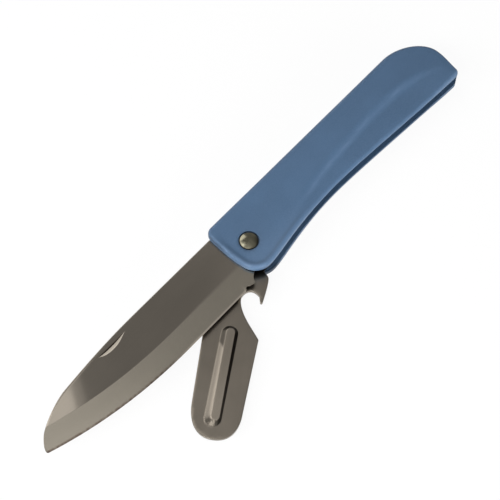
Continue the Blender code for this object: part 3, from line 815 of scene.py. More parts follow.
def ground_steel(knob):
    """Satin blade steel: long grain on the flats, cross grain on the ground bevel, a honed bevel darker
    towards the tip, a painted highlight along the edge at the heel, and painted shade.
    """
    finish = Finish("satin_ground_steel", knob.roughness, 1.0)
    bevel = finish.mark("bevel")
    cloud = finish.span(finish.noise(55.0, 3.0, (0.5, 1.0, 1.0)), 0.35, 0.65)
    flats = finish.blend(cloud, shade(knob.steel, 0.88), knob.steel)
    ground = finish.blend(cloud, shade(knob.ground, 0.92), knob.ground)
    base = finish.blend(bevel, flats, ground)
    along = finish.noise(2400.0, 3.0, (0.012, 1.0, 1.0))
    across = finish.noise(2400.0, 3.0, (1.0, 0.02, 1.0))
    long_grain = finish.sum("MULTIPLY", along, finish.span(bevel, 0.0, 1.0, 1.0, 0.15))
    lines = finish.sum("ADD", long_grain, finish.sum("MULTIPLY", across, bevel))
    base = finish.blend(finish.span(lines, 0.35, 0.7, 0.0, 0.1), base, shade(knob.steel, 0.72))
    broken = finish.span(finish.noise(900.0, 3.0), 0.35, 0.6, 0.3, 1.0)
    honed = finish.sum("MULTIPLY", finish.mark("honed"), broken)
    base = finish.blend(honed, base, shade(knob.steel, (0.36, 0.27, 0.24)))
    # Painted highlight along the cutting edge at the heel.
    base = finish.blend(finish.mark("wear_and_highlight"), base, shade(knob.steel, 2.2))
    # Painted shade along the spine's edge and in the nail nick.
    base = finish.blend(finish.mark("painted_shade"), base, shade(knob.steel, 0.2))
    smears = finish.span(finish.noise(120.0, 5.0, (0.6, 1.0, 1.0)), 0.3, 0.7, -0.005, 0.01)
    satin = finish.sum("MAXIMUM", finish.span(bevel, 0.0, 1.0, 0.0, 0.15), finish.mark("satin"))
    roughness = finish.sum("ADD", finish.sum("ADD", satin, knob.roughness), smears)
    return finish.done(base, roughness)


def pressed_steel(knob):
    """Tumbled leaf steel with speckles, long scratches, worn rims with painted highlights, and painted
    shade.
    """
    finish = Finish("tumbled_pressed_steel", knob.roughness, 1.0)
    cloud = finish.span(finish.noise(80.0, 3.0), 0.35, 0.65)
    base = finish.blend(cloud, shade(knob.steel, 0.88), knob.steel)
    dark = shade(knob.steel, 0.75)
    speckle = finish.noise(2200.0, 2.0)
    base = finish.blend(finish.span(speckle, 0.5, 0.75, 0.0, 0.14), base, dark)
    lines = finish.noise(700.0, 4.0, (0.03, 1.0, 1.0), LEAF_TURN)
    base = finish.blend(finish.span(lines, 0.45, 0.7, 0.0, 0.1), base, dark)
    # Worn rims, and painted highlights on the rims, the rib's shoulders and its crest.
    base = finish.blend(finish.mark("wear_and_highlight"), base, shade(knob.steel, 1.45))
    # Painted shade on the rib's flanks, by the pivot and on the spine side.
    base = finish.blend(finish.mark("painted_shade"), base, shade(knob.steel, 0.12))
    roughness = finish.span(finish.noise(60.0, 1.0), 0.3, 0.7, knob.roughness, knob.roughness + 0.02)
    return finish.done(base, roughness)


def turned_metal(name, tone, roughness, mottle):
    """Turned or stamped metal with a fine grain and dull patches."""
    finish = Finish(name, roughness, 1.0)
    patches = finish.span(finish.noise(420.0, 4.0), 0.35, 0.65)
    base = finish.blend(patches, shade(tone, 1 - mottle), tone)
    fine = finish.noise(1800.0, 3.0)
    base = finish.blend(finish.span(fine, 0.5, 0.7, 0.0, mottle), base, shade(tone, 0.6))
    patchy = finish.span(finish.noise(600.0, 4.0), 0.3, 0.7, roughness - 0.05, roughness + 0.12)
    finish.bump(fine, 0.1, 0.02 * MM)
    return finish.done(base, patchy)


# ---------------------------------------------------------------- handle


def handle_outline(setback=0.0, drop=0.0):
    """The handle seen from the front, anticlockwise from the front corner of its spine.

    setback shortens it at the nose and drop lowers its underside up to the waist. Each lead is a point
    that a curve bends towards.
    """
    reach = FRONT_REACH - setback
    corner = (-reach + CORNER_BACK + FRONT_CORNER, HANDLE_SPINE - FRONT_CORNER)
    nose = (-reach + NOSE_BACK + NOSE_RADIUS, -NOSE_DEPTH - drop + NOSE_RADIUS)
    waist = (WAIST_PLACE, -WAIST_DEPTH - drop)
    butt_corner = (BUTT_END - BUTT_BACK - BUTT_CORNER, -BUTT_DEPTH + BUTT_CORNER)
    points = arc(corner, FRONT_CORNER, 90, 180, 16)
    lead = (-reach + 0.35 * MM, 5 * MM)
    nose_top = (nose[0] - NOSE_RADIUS, nose[1])
    points += curve(points[-1], lead, (-reach + 0.15 * MM, 0), nose_top)
    points += arc(nose, NOSE_RADIUS, 180, 270)[1:]
    bottom = points[-1]
    lead = (bottom[0] + 6.5 * MM, bottom[1])
    points += curve(bottom, lead, (waist[0] - 21.7 * MM, waist[1]), waist, 80)
    corner_low = arc(butt_corner, BUTT_CORNER, -92, -9, 16)
    lead = (corner_low[0][0] - 18.9 * MM, corner_low[0][1] + 0.5 * MM)
    points += curve(waist, (waist[0] + 14.2 * MM, waist[1]), lead, corner_low[0], 100)
    points += corner_low[1:]
    side = (BUTT_END, 0.6 * MM)
    points += curve(points[-1], (BUTT_END - 0.8 * MM, -5.0 * MM), (BUTT_END, -3.0 * MM), side, 20)
    crown = (BUTT_END - BUTT_ROUND, HANDLE_SPINE)
    lead = (side[0], side[1] + (HANDLE_SPINE - side[1]) * 0.52)
    points += curve(side, lead, (crown[0] + BUTT_ROUND * 0.5, crown[1]), crown, 60)
    return points


def slot_outline(web, web_start):
    """The slot that both tools fold into, anticlockwise, open at the front and along the underside.

    web lists the corners of the spine web's face from its front to the gusset at the butt, and
    web_start is where its front end stands.
    """
    below = -NOSE_DEPTH - OVERSHOOT
    above = HANDLE_SPINE + OVERSHOOT
    ahead = -FRONT_REACH - OVERSHOOT
    gusset = [(SLOT_END - GUSSET_LENGTH, WEB_FACE), (SLOT_END, WEB_FACE - GUSSET_DROP)]
    front = [(ahead, below), (ahead, above), (web_start, above), (web_start, PAD_FACE)]
    corners = [(SLOT_END, below), *front, *web, *gusset]
    return corners[::-1]


def crest_line(x):
    """The height of the steepest line of the fold where the scoop begins."""
    away = x - CREST_PLACE
    return CREST_HEIGHT - np.where(away < 0, CREST_FALL_FRONT * away**2, CREST_FALL_BUTT * away**3)


def scoop_ends(x):
    """How fully the scoop is pressed at each place along, fading out towards its two ends."""
    return ramp(x, SCOOP_START, SCOOP_START + SCOOP_FADE) * ramp(x, SCOOP_END, SCOOP_END - SCOOP_FADE)


def scoop_fall(x, y, knob):
    """How far the scoop lies below the outer face: a soft roll-over, then a level floor to the underside."""
    crest = crest_line(x)
    run = ramp(y, crest + ROLL_ABOVE, crest - ROLL_BELOW)
    power = ROLL_ABOVE / ROLL_BELOW
    roll = run ** (power + 1) * (power + 2) - run ** (power + 2) * (power + 1)
    ends = scoop_ends(x)
    return knob.scoop_depth * roll * ends * ends * (3 - 2 * ends)


def edge_fall(inset, x, y, knob, front):
    """How far the rounded edge lies below the face, with a low step along the front's underside."""
    if not front:
        return rounded(inset, knob.back_rounding)
    widening = (knob.edge_rounding - knob.nose_rounding) * ramp(x, 4 * MM, 20 * MM)
    fall = rounded(inset, knob.nose_rounding + widening)
    below = ramp(y, 4 * MM, 0.0) * ramp(x, 12 * MM, 24 * MM)
    return fall + knob.edge_step * eased(ramp(inset, 2.5 * MM, 1.6 * MM)) * below


def near_nose(x, y):
    """How near a place is to the underside of the nose, from 1 there to 0 well behind and above it."""
    return ramp(x, 26 * MM, 12 * MM) * ramp(y, 10 * MM, 4 * MM)


def groove_fall(inset, x, y, knob):
    """How far the shallow groove inside the nose's rounded edge lies below the face."""
    outer = np.sin(math.pi / 2 * ramp(inset, 1.1 * MM, 3.0 * MM)) ** 2
    inner = np.cos(math.pi / 2 * ramp(inset, 3.0 * MM, 10.0 * MM)) ** 2
    return knob.nose_groove * outer * inner * near_nose(x, y)


def scoop_rows():
    """Rows along the scoop's fold that its faces follow, by their millimetres above its steepest line."""
    x = np.linspace(SCOOP_START, SCOOP_END, 150)
    offsets = (3.3, 2.7, 2.1, 1.5, 1.0, 0.5, 0.0, -0.4, -0.8, -1.2, -1.6, -2.05)
    return [row(x, crest_line(x) + offset * MM) for offset in offsets]


class HandleHalf:
    """One moulded half of the handle: its lines, the height rules of its two faces, and its marks.

    The front half has the seat of the rivet's head, a stop pad under its web and the peg's socket. The
    back half has the seat of the rivet's tail, the leaf's stop lug and the locating peg.
    """

    def __init__(self, knob, front):
        self.knob = knob
        self.front = front
        self.side = 1 if front else -1
        self.face = FRONT_FACE if front else 0.0
        self.seam = FRONT_SEAM if front else BACK_SEAM
        self.wall = FRONT_WALL if front else BACK_WALL
        self.recess = FRONT_RECESS if front else BACK_RECESS
        self.seat_radius = HEAD_SEAT if front else TAIL_SEAT
        self.seat_floor = HEAD_SEAT_FLOOR if front else TAIL_SEAT_FLOOR
        self.peg_radius = PEG_RADIUS + SEAT_GAP if front else PEG_RADIUS
        self.peg_tip = PEG_TIP + SEAT_GAP if front else PEG_TIP
        if front:
            outline = handle_outline()
            web = [(PAD_LENGTH, PAD_FACE), (PAD_LENGTH, WEB_FACE)]
        else:
            outline = handle_outline(knob.back_setback, knob.back_drop)
            web = [(LUG_START, PAD_FACE), (LUG_START, LUG_FACE), (LUG_END, LUG_FACE), (LUG_END, WEB_FACE)]
        web_start = WEB_LEAD - FRONT_REACH + knob.back_setback
        self.outline = spaced(outline, 0.5 * knob.mesh_pitch)
        self.slot = spaced(slot_outline(web, web_start), knob.mesh_pitch)

    def outer(self, x, y):
        """Height of the outer face, with its rounded edge, scoop, nose groove and rivet seat."""
        inset = distance_to(x, y, self.outline)
        fall = edge_fall(inset, x, y, self.knob, self.front)
        fall = fall + scoop_fall(x, y, self.knob) + groove_fall(inset, x, y, self.knob)
        reach = np.hypot(x, y)
        fall = fall + rounded(np.maximum(reach - self.seat_radius, 0), SEAT_EDGE)
        return np.where(reach < self.seat_radius, self.seat_floor, self.face - self.side * fall)

    def inner(self, x, y):
        """Height of the inner face, with its slot, washer recess, and peg or socket.

        The front half's slot wall is lower at the nose, and the back half carries a tongue inside its
        outline that closes the seam.
        """
        inset = distance_to(x, y, self.outline)
        in_slot = within(x, y, [self.slot])
        at_nose = ramp(x, -1 * MM, -4 * MM) if self.front else 0.0
        mouth = rounded(inset, self.knob.mouth_rounding * (1 - 0.6 * at_nose))
        lip = np.where(in_slot, mouth, rounded(inset, self.knob.seam_rounding))
        floor = np.where(np.hypot(x, y) < RECESS_RADIUS, self.recess, self.wall)
        floor = floor - NOSE_LIP * at_nose * ramp(inset, 1.5 * MM, 1.1 * MM)
        tongue = 0.0 if self.front else TONGUE_RISE * (inset > TONGUE_INSET)
        height = np.where(in_slot, floor, self.seam + tongue) + self.side * lip
        from_peg = np.hypot(x - PEG_PLACE[0], y - PEG_PLACE[1])
        return np.where(from_peg < self.peg_radius, self.peg_tip, height)

    def rows(self):
        """Rows that the faces' edges follow: roundings, scoop, groove, slot, seat, peg and recess."""
        knob = self.knob
        seat = hole(self.seat_radius)
        peg = hole(self.peg_radius, 32, PEG_PLACE)
        rows = rounding_rows(self.outline, knob.edge_rounding, 8)
        rows += rings(self.outline, (0.25 * knob.mouth_rounding, 0.5 * knob.mouth_rounding))
        rows += scoop_rows()
        rows += rings(self.outline, [inset * MM for inset in (1.75, 2.0, 2.25, 2.5, 2.9, 3.3)])
        for line in (self.slot, seat, peg, hole(RECESS_RADIUS)):
            rows += step_rows(line)
        return rows + rings(seat, (0.3 * SEAT_EDGE, SEAT_EDGE))

    def moulded(self, name):
        """The half's mesh, with its marks."""
        bore = hole(SHANK_RADIUS + SEAT_GAP, BORE_STEPS)
        top, bottom = (self.outer, self.inner) if self.front else (self.inner, self.outer)
        half = plate(name, [self.outline, bore], self.rows(), self.knob.mesh_pitch, top, bottom)
        x, y, z = coordinates(half).T
        inset = distance_to(x, y, self.outline)
        outward = near(z, self.face, 3 * MM)
        # The rim's worn edge with a painted highlight along it, and a painted highlight along the scoop's
        # fold.
        rim = near(inset, 0.3 * MM, 1.1 * MM)
        fold = near(y, crest_line(x), 2.4 * MM) ** 2 * scoop_ends(x)
        marked(half, "wear_and_highlight", (0.88 * rim + 0.9 * fold) * outward)
        # Painted light: paler round the nose's underside, and a stronger painted highlight on the front
        # half's nose wall.
        painted_nose_light = np.exp(-((x - 2 * MM) / (20 * MM)) ** 2 - ((y + 8 * MM) / (6 * MM)) ** 2)
        if self.front:
            nose_wall = ramp(inset, 0.3 * MM, 0.0) * ramp(x, -5 * MM, -7 * MM)
            marked(half, "painted_nose_light", np.maximum(painted_nose_light, 3.2 * nose_wall))
            marked(half, "painted_shade", self.front_painted_shade(x, y, inset, outward))
        else:
            marked(half, "painted_nose_light", painted_nose_light)
            marked(half, "painted_shade", self.back_painted_shade(x, y, z, inset))
        smoothed(half)
        return half

    def front_painted_shade(self, x, y, inset, outward):
        """Painted shade on the front half: in the nose groove, along the spine edge, towards the butt and
        behind the rivet, and a painted shadow round its seat.
        """
        groove = near(inset, 1.85 * MM, 0.9 * MM) * near_nose(x, y)
        spine = ramp(inset, 0.6 * MM, 0.0) * ramp(y, 2 * MM, 6 * MM)
        butt = eased(ramp(x, 72 * MM, 96 * MM))
        by_rivet = eased(ramp(x, 14 * MM, 4 * MM)) * eased(ramp(y, -6 * MM, -1 * MM))
        face = (0.22 * groove + 0.8 * spine + 0.08 * butt + 0.09 * by_rivet) * outward
        # Painted shadow in a thin ring round the rivet head's seat.
        from_seat = np.hypot(x, y) - self.seat_radius
        return np.maximum(face, 0.85 * ramp(from_seat, 0.18 * MM, 0.06 * MM))

    def back_painted_shade(self, x, y, z, inset):
        """Painted shade on the back half: along its lip, darkest at the nose, and deep in the mouth of the
        slot at the nose.
        """
        strength = 0.38 + 0.55 * ramp(x, 5 * MM, 2 * MM) * ramp(z, -0.4 * MM, 0.8 * MM)
        lip = strength * ramp(inset, 1.2 * MM, 0.0) ** 0.5 * (y < 4 * MM)
        mouth = near(z, (self.seam + self.wall) / 2, 2 * MM) * ramp(x, 5 * MM, 1 * MM)
        return np.maximum(lip, 0.9 * mouth)


class KNIFE_OT_mould_handle(Operator):
    """Makes the two moulded halves of the handle"""

    bl_idname = "knife.mould_handle"
    bl_label = "Mould Handle"
    bl_options = {"REGISTER", "UNDO"}

    def execute(self, context):
        knob = context.scene.knife_handle
        plastic = moulded_plastic(knob)
        front = HandleHalf(knob, True).moulded("front_handle_half")
        dressed(front, plastic, "handle", "front_scale")
        back = HandleHalf(knob, False).moulded("back_handle_half")
        dressed(back, plastic, "handle", "back_scale")
        return {"FINISHED"}


# ---------------------------------------------------------------- tools


def tang(spine, start):
    """The round end of a tool behind its pivot, from its working side round to its spine."""
    points = arc((0, 0), TANG_RADIUS, start, 180)
    shoulder = 0.65 * TANG_RADIUS
    points += curve(points[-1], (-TANG_RADIUS, -shoulder), (-shoulder, -spine), (0.0, -spine), 24)[:-1]
    return points


def belly_share(x):
    """How far along the rising belly a place is, from 0 at its start to 1 at the tip."""
    return np.maximum((x - BELLY_START) / (BLADE_REACH - BELLY_START), 0.0)


def edge_height(x):
    """The cutting edge's distance from the blade's axis."""
    return BLADE_EDGE - BELLY_RISE * belly_share(x) ** BELLY_POWER


def grind_width(x, knob):
    """Width of the ground bevel at each place along the blade."""
    return knob.grind_at_heel + (knob.grind_at_tip - knob.grind_at_heel) * belly_share(x)


def grind_rows(knob):
    """Rows across the bevel and beside the line where it begins, which is softer towards the heel."""
    x = np.linspace(KICK_START, BLADE_REACH - 0.8 * MM, 160)
    width = grind_width(x, knob)
    crease = edge_height(x) - width
    gap = CREASE_HALF + 0.5 * MM * ramp(x, 42 * MM, 22 * MM)
    rows = [row(x, crease + side * gap) for side in (-1, 0, 1)]
    return rows + [row(x, crease + width * part) for part in (0.14, 0.26, 0.38, 0.5, 0.62, 0.74, 0.86)]


def blade_outline():
    """The main blade in its own frame, spine on the negative side of Y."""
    points = [(0.0, -BLADE_SPINE), (SPINE_STRAIGHT, -BLADE_SPINE)]
    drop = (BLADE_REACH - 18.0 * MM, -BLADE_SPINE + SPINE_DROP)
    lead = (SPINE_STRAIGHT + 10 * MM, -BLADE_SPINE)
    points += curve(points[-1], lead, (drop[0] - 12 * MM, drop[1] - 1.3 * MM), drop)
    shoulder = (BLADE_REACH - 2.75 * MM, -2.7 * MM)
    lead = (drop[0] + 5 * MM, drop[1] + 0.8 * MM)
    points += curve(drop, lead, (shoulder[0] - 2.5 * MM, shoulder[1] - 2.5 * MM), shoulder)
    nose_x = BLADE_REACH - 0.7 * MM
    nose = (nose_x, edge_height(nose_x))
    lead = (shoulder[0] + 2.05 * MM, -0.7 * MM)
    points += curve(shoulder, lead, (BLADE_REACH + 1.0 * MM, 1.6 * MM), nose, 24)
    belly = [nose_x + (BELLY_START - nose_x) * i / 80 for i in range(1, 81)]
    points += [(x, edge_height(x)) for x in belly]
    points += [(BLADE_HEEL, BLADE_EDGE)]
    points += arc((BLADE_HEEL - 2 * NOTCH_RADIUS, BLADE_EDGE), NOTCH_RADIUS, -20, -160, 14)
    kick = (BLADE_HEEL - 4.4 * MM, BLADE_EDGE - 1.1 * MM)
    points += arc(kick, 1.15 * MM, 75, 165, 14)
    root = (KICK_START, 8.0 * MM)
    lead = (kick[0] - 1.6 * MM, kick[1] - 0.8 * MM)
    points += curve(points[-1], lead, (root[0] + 0.8 * MM, root[1] + 0.6 * MM), root, 12)
    points += tang(BLADE_SPINE, 60)
    return points


def nick_share(along):
    """The nick's width along its length, from -1 at the heel's end to 1 at the blunter end by the tip."""
    return 1 - np.where(along > 0, np.abs(along) ** 3, np.abs(along) ** 1.7)


def nick_fall(x, y, knob):
    """How far the nail nick lies below the front: a straight steep side and a crescent floor."""
    along = np.clip(2 * (x - knob.nick_place) / knob.nick_length, -1, 1)
    below = y + BLADE_SPINE - knob.nick_below_spine
    floor = knob.nick_depth * (nick_share(along) - below / knob.nick_width)
    return np.where(below > 0, np.maximum(floor, 0), 0)


def nick_rows(knob):
    """The rows of the nail nick."""
    along = np.linspace(-1, 1, 61)
    x = knob.nick_place + along * knob.nick_length / 2
    side = -BLADE_SPINE + knob.nick_below_spine
    rows = [row(x, np.full(len(x), side + d)) for d in (-STEP_HALF, STEP_HALF)]
    for part in (0.35, 0.7, 1.0, 1.06):
        rows.append(row(x, side + 0.02 * MM + knob.nick_width * nick_share(along) * part))
    return rows


def grind_sizes(knob):
    """What the grinding tree is given."""
    return {
        "Middle": (BLADE_LOW + BLADE_HIGH) / 2,
        "Thickness": BLADE_HIGH - BLADE_LOW,
        "Edge Thickness": knob.edge_thickness,
        "Reach": BLADE_REACH,
        "Edge Height": BLADE_EDGE,
        "Belly Start": BELLY_START,
        "Belly Rise": BELLY_RISE,
        "Belly Power": BELLY_POWER,
        "Width at Heel": knob.grind_at_heel,
        "Width at Tip": knob.grind_at_tip,
        "Cutting Thickness": knob.cutting_thickness,
        "Cutting Width": knob.cutting_width,
    }


def mark_blade(blade, knob, outline):
    """Marks the blade's bevel, honed edge, a painted highlight at the heel's edge, painted shade and satin
    patches, in its own frame.
    """
    heel_end = BLADE_HEEL - 0.01 * MM
    cutting = [p for p in outline if p[0] > heel_end and p[1] > edge_height(p[0]) - 0.02 * MM]
    x, y, _ = coordinates(blade).T
    from_edge = distance_to(x, y, cutting, closed=False)
    marked(blade, "from_cutting_edge", from_edge)
    crease = edge_height(x) - grind_width(x, knob)
    marked(blade, "bevel", ramp(y, crease, crease + 0.05 * MM) * (x > KICK_START))
    # The honed bevel darkens towards the tip, and towards the heel its edge gets a painted highlight.
    tipward = eased(ramp(x, 38 * MM, 54 * MM))
    honed = ramp(from_edge, knob.cutting_width, knob.cutting_width - 0.15 * MM)
    marked(blade, "honed", honed * tipward)
    marked(blade, "wear_and_highlight", ramp(from_edge, 0.5 * MM, 0.0) * (1 - tipward))
    inset = distance_to(x, y, outline)
    # Painted shade along the spine's edge near the nick, and in the nick itself.
    spine = ramp(inset, 0.39 * MM, 0.09 * MM) * ramp(x, 72 * MM, 60 * MM) * (y < -4 * MM)
    nick = ramp(nick_fall(x, y, knob), 0.0, 0.05 * MM)
    marked(blade, "painted_shade", np.maximum(0.45 * spine, 0.3 * nick))
    heel = ramp(x, 32 * MM, 12 * MM)
    rim = ramp(inset, 0.224 * MM, 0.084 * MM) * (from_edge > 0.3 * MM)
    marked(blade, "satin", np.maximum.reduce([0.15 * nick, 0.13 * heel, 0.26 * rim]))


def turned_out(thing, angle):
    """Turns a tool's mesh about the pivot from its own frame to where it stands."""
    thing.data.transform(Matrix.Rotation(angle, 4, "Z"))


class KNIFE_OT_grind_blade(Operator):
    """Makes the ground main blade with its nail nick"""

    bl_idname = "knife.grind_blade"
    bl_label = "Grind Blade"
    bl_options = {"REGISTER", "UNDO"}

    def execute(self, context):
        knob = context.scene.knife_blade
        outline = spaced(blade_outline(), 0.5 * knob.mesh_pitch)
        bore = hole(TOOL_HOLE, BORE_STEPS)

        def top(x, y):
            """Height of the front, with its rounded rim and the nail nick."""
            fall = rounded(distance_to(x, y, outline), knob.edge_rounding)
            return BLADE_HIGH - np.maximum(fall, nick_fall(x, y, knob))

        def bottom(x, y):
            """Height of the back, with its rounded rim."""
            return BLADE_LOW + rounded(distance_to(x, y, outline), knob.edge_rounding)

        rows = grind_rows(knob) + rounding_rows(outline, knob.edge_rounding, 3)
        rows += rings(shifted(outline, knob.cutting_width), (-CREASE_HALF, CREASE_HALF, 0.0))
        rows += nick_rows(knob)
        blade = plate("blade_ground", [outline, bore], rows, knob.mesh_pitch, top, bottom)
        mark_blade(blade, knob, outline)
        steel = ground_steel(knob)
        sizes = grind_sizes(knob)
        grinder(sizes).baked(blade, steel, sizes)
        turned_out(blade, BLADE_TURN)
        smoothed(blade)
        dressed(blade, steel, "blade", "main_blade")
        return {"FINISHED"}


def leaf_outline():
    """The opener leaf in its own frame, spine on the negative side of Y."""
    end = (LEAF_REACH, -2.5 * MM)
    flared = -LEAF_SPINE - LEAF_FLARE
    points = [(0.0, -LEAF_SPINE), (LEAF_REACH - 11.8 * MM, flared)]
    lead = (LEAF_REACH - 2.9 * MM, flared)
    points += curve(points[-1], lead, (LEAF_REACH + 0.1 * MM, -6.9 * MM), end)
    flank = (LEAF_REACH - 9.2 * MM, 5.9 * MM)
    points += curve(end, (LEAF_REACH, 3.8 * MM), (flank[0] + 4.0 * MM, flank[1] - 0.3 * MM), flank)
    points += [(FULCRUM_REACH, FULCRUM_HEIGHT)]
    floor = (NOTCH_PLACE, -NOTCH_FLOOR)
    throat = (PRONG_REACH - 2.7 * MM, PRONG_HEIGHT - 2.5 * MM)
    lead = (FULCRUM_REACH - 3.2 * MM, FULCRUM_HEIGHT - 2 * MM)
    points += curve(points[-1], lead, (floor[0] + 5.6 * MM, floor[1]), floor)
    lead = (floor[0] - 0.9 * MM, floor[1])
    points += curve(floor, lead, (throat[0] - 3.7 * MM, throat[1] - 3.9 * MM), throat, 30)
    tip = (PRONG_REACH - 0.55 * MM, PRONG_HEIGHT - 1.45 * MM)
    inside = (tip[0] - 0.15 * MM, tip[1] - 0.45 * MM)
    lead = (throat[0] + 0.5 * MM, throat[1] + 0.35 * MM)
    points += curve(throat, lead, (throat[0] + 1.3 * MM, throat[1] + 0.3 * MM), inside, 10)
    points += arc(tip, 0.5 * MM, -50, 65, 10)
    back = (PRONG_REACH - 9.2 * MM, PRONG_HEIGHT)
    lead = (back[0] + 6.1 * MM, back[1] - 0.5 * MM)
    points += curve(points[-1], lead, (back[0] + 1.6 * MM, back[1] + 0.1 * MM), back, 20)
    root = (back[0] - 2.8 * MM, back[1] - 2.0 * MM)
    lead = (back[0] - 1.2 * MM, back[1])
    points += curve(back, lead, (root[0] + 1.0 * MM, root[1] + 1.2 * MM), root, 12)
    points += tang(LEAF_SPINE, 44)
    return points


def rib_level(part_up):
    """The rib's outline at a part of its height, clockwise, from its foot at 0 to its flat top at 1."""
    a, b = (between(foot, top, part_up) for foot, top in zip(RIB_FOOT, RIB_TOP))
    radius = RIB_FOOT_RADIUS + (RIB_TOP_RADIUS - RIB_FOOT_RADIUS) * part_up
    slant = math.degrees(math.atan2(b[1] - a[1], b[0] - a[0]))
    far = arc(b, radius, 90 + slant, -90 + slant, 32)
    near_end = arc(a, radius, 270 + slant, 90 + slant, 32)
    flanks = [straight(far[-1], near_end[0], 70), straight(near_end[-1], far[0], 70)]
    return far[:-1] + flanks[0] + near_end[1:-1] + flanks[1][:-1]


def rib_rise(x, y, inset):
    """How high the rib stands over the leaf, or its hollow, which is narrower by an inset."""
    from_foot = np.maximum(RIB_FOOT_RADIUS - inset - distance_to(x, y, RIB_FOOT, closed=False), 0)
    from_top = np.maximum(distance_to(x, y, RIB_TOP, closed=False) - RIB_TOP_RADIUS + inset, 0)
    tiny = 1e-9
    return RIB_HEIGHT * eased(from_foot / (from_foot + from_top + tiny))


def mark_leaf(leaf, outline):
    """Marks the leaf's worn rim, its painted highlights and its painted shade, in its own frame.

    across is the distance across the rib from its middle line, towards the working side.
    """
    x, y, z = coordinates(leaf).T
    # Worn rim, and painted highlights on the rim, the rib's shoulders and its crest, brighter towards the
    # far end.
    rim = ramp(distance_to(x, y, outline), 0.45 * MM, 0.0)
    shoulder = near(distance_to(x, y, RIB_TOP, closed=False), RIB_TOP_RADIUS, 0.3 * MM) * (z > LEAF_HIGH)
    crest = ramp(z, RIB_CREST - 0.15 * MM, RIB_CREST) * (0.25 + 0.4 * eased(ramp(x, 40 * MM, 60 * MM)))
    marked(leaf, "wear_and_highlight", np.clip(0.25 * rim + 0.2 * shoulder + crest, 0, 1))
    across = y - RIB_TOP[0][1] + RIB_SLANT * (x - RIB_TOP[0][0])
    # Painted shade: on the rib's flanks, strongest at the root, on the working side and at the far end, by
    # the pivot, and faintly on the flat beyond the rib's spine side.
    flank = 0.06 * MM
    on_flank = ramp(z, LEAF_HIGH, LEAF_HIGH + flank) * ramp(z, RIB_CREST, RIB_CREST - flank)
    root = 0.8 * ramp(x - 1.1 * across, 41 * MM, 39.8 * MM) * (across < -1 * MM)
    spine_side = 0.25 * ramp(across, -2.3 * MM, -2.6 * MM)
    far_end = 0.4 * ramp(x, 62 * MM, 65 * MM)
    working_side = 0.75 * (across > 1 * MM)
    foot = np.maximum.reduce([root, spine_side, far_end, working_side]) * on_flank
    joint = 0.75 * ramp(np.hypot(x, y), 13 * MM, 11.5 * MM)
    spine_flat_shade = 0.06 * ramp(across, -2.5 * MM, -4.5 * MM)
    marked(leaf, "painted_shade", np.maximum.reduce([foot, joint, spine_flat_shade]))


class KNIFE_OT_press_leaf(Operator):
    """Makes the pressed opener leaf with its stiffening rib"""

    bl_idname = "knife.press_leaf"
    bl_label = "Press Opener Leaf"
    bl_options = {"REGISTER", "UNDO"}

    def execute(self, context):
        knob = context.scene.knife_leaf
        outline = spaced(leaf_outline(), 0.45 * knob.mesh_pitch)
        bore = hole(TOOL_HOLE, BORE_STEPS)

        def top(x, y):
            """Height of the front, with its rounded rim and the rib."""
            return LEAF_HIGH - rounded(distance_to(x, y, outline), knob.edge_rounding) + rib_rise(x, y, 0.0)

        def bottom(x, y):
            """Height of the back, with its rounded rim and the rib's hollow."""
            burr = rounded(distance_to(x, y, outline), knob.burr_rounding)
            return LEAF_LOW + burr + rib_rise(x, y, knob.hollow_inset)

        rows = rounding_rows(outline, knob.edge_rounding, 3) + rings(outline, [knob.burr_rounding])
        heights = (-0.05, 0.0, 0.1, 0.2, 0.35, 0.5, 0.65, 0.8, 0.9, 1.0, 1.08)
        rows += [ring(rib_level(part)) for part in heights]
        leaf = plate("opener_leaf", [outline, bore], rows, knob.mesh_pitch, top, bottom)
        mark_leaf(leaf, outline)
        turned_out(leaf, LEAF_TURN)
        smoothed(leaf)
        dressed(leaf, pressed_steel(knob), "leaf", "bottle_opener")
        return {"FINISHED"}


# ---------------------------------------------------------------- rivet and washers


def softened(profile, radius, closed):
    """A profile of radius and level with its sharp corners rounded."""
    steps = 4
    gentle = math.radians(20)
    points = []
    for i, corner in enumerate(profile):
        if not closed and i in (0, len(profile) - 1):
            points.append(corner)
            continue
        here = Vector(corner)
        back = Vector(profile[i - 1]) - here
        on = Vector(profile[(i + 1) % len(profile)]) - here
        if back.angle(-on) < gentle:
            points.append(corner)
            continue
        reach = min(radius, back.length / 2.2, on.length / 2.2)
        start = here + back.normalized() * reach
        end = here + on.normalized() * reach
        for t in (step / steps for step in range(steps + 1)):
            points.append(tuple(start * (1 - t) ** 2 + here * 2 * t * (1 - t) + end * t**2))
    return points


def turned(name, profile, finish, knob, closed=True):
    """A round piece about the pivot, from its profile of radius and level."""
    corners = softened(profile, knob.rim_rounding, closed)
    mesh = bpy.data.meshes.new(name)
    links = [(i, i + 1) for i in range(len(corners) - 1)]
    if closed:
        links.append((len(corners) - 1, 0))
    mesh.from_pydata([(r, 0.0, z) for r, z in corners], links, [])
    piece = placed(name, mesh)
    lathe().baked(piece, finish, {"Steps Around": knob.steps_around, "Steps Along": knob.steps_along})
    form = bmesh.new()
    form.from_mesh(piece.data)
    bmesh.ops.recalc_face_normals(form, faces=form.faces)
    form.to_mesh(piece.data)
    form.free()
    smoothed(piece)
    return piece


def ring_profile(node, bore, dish=0.0):
    """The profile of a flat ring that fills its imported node's box, higher at its bore by the dish."""
    low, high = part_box(node)
    return [(bore, low.z + dish), (high.x, low.z), (high.x, high.z - dish), (bore, high.z)]


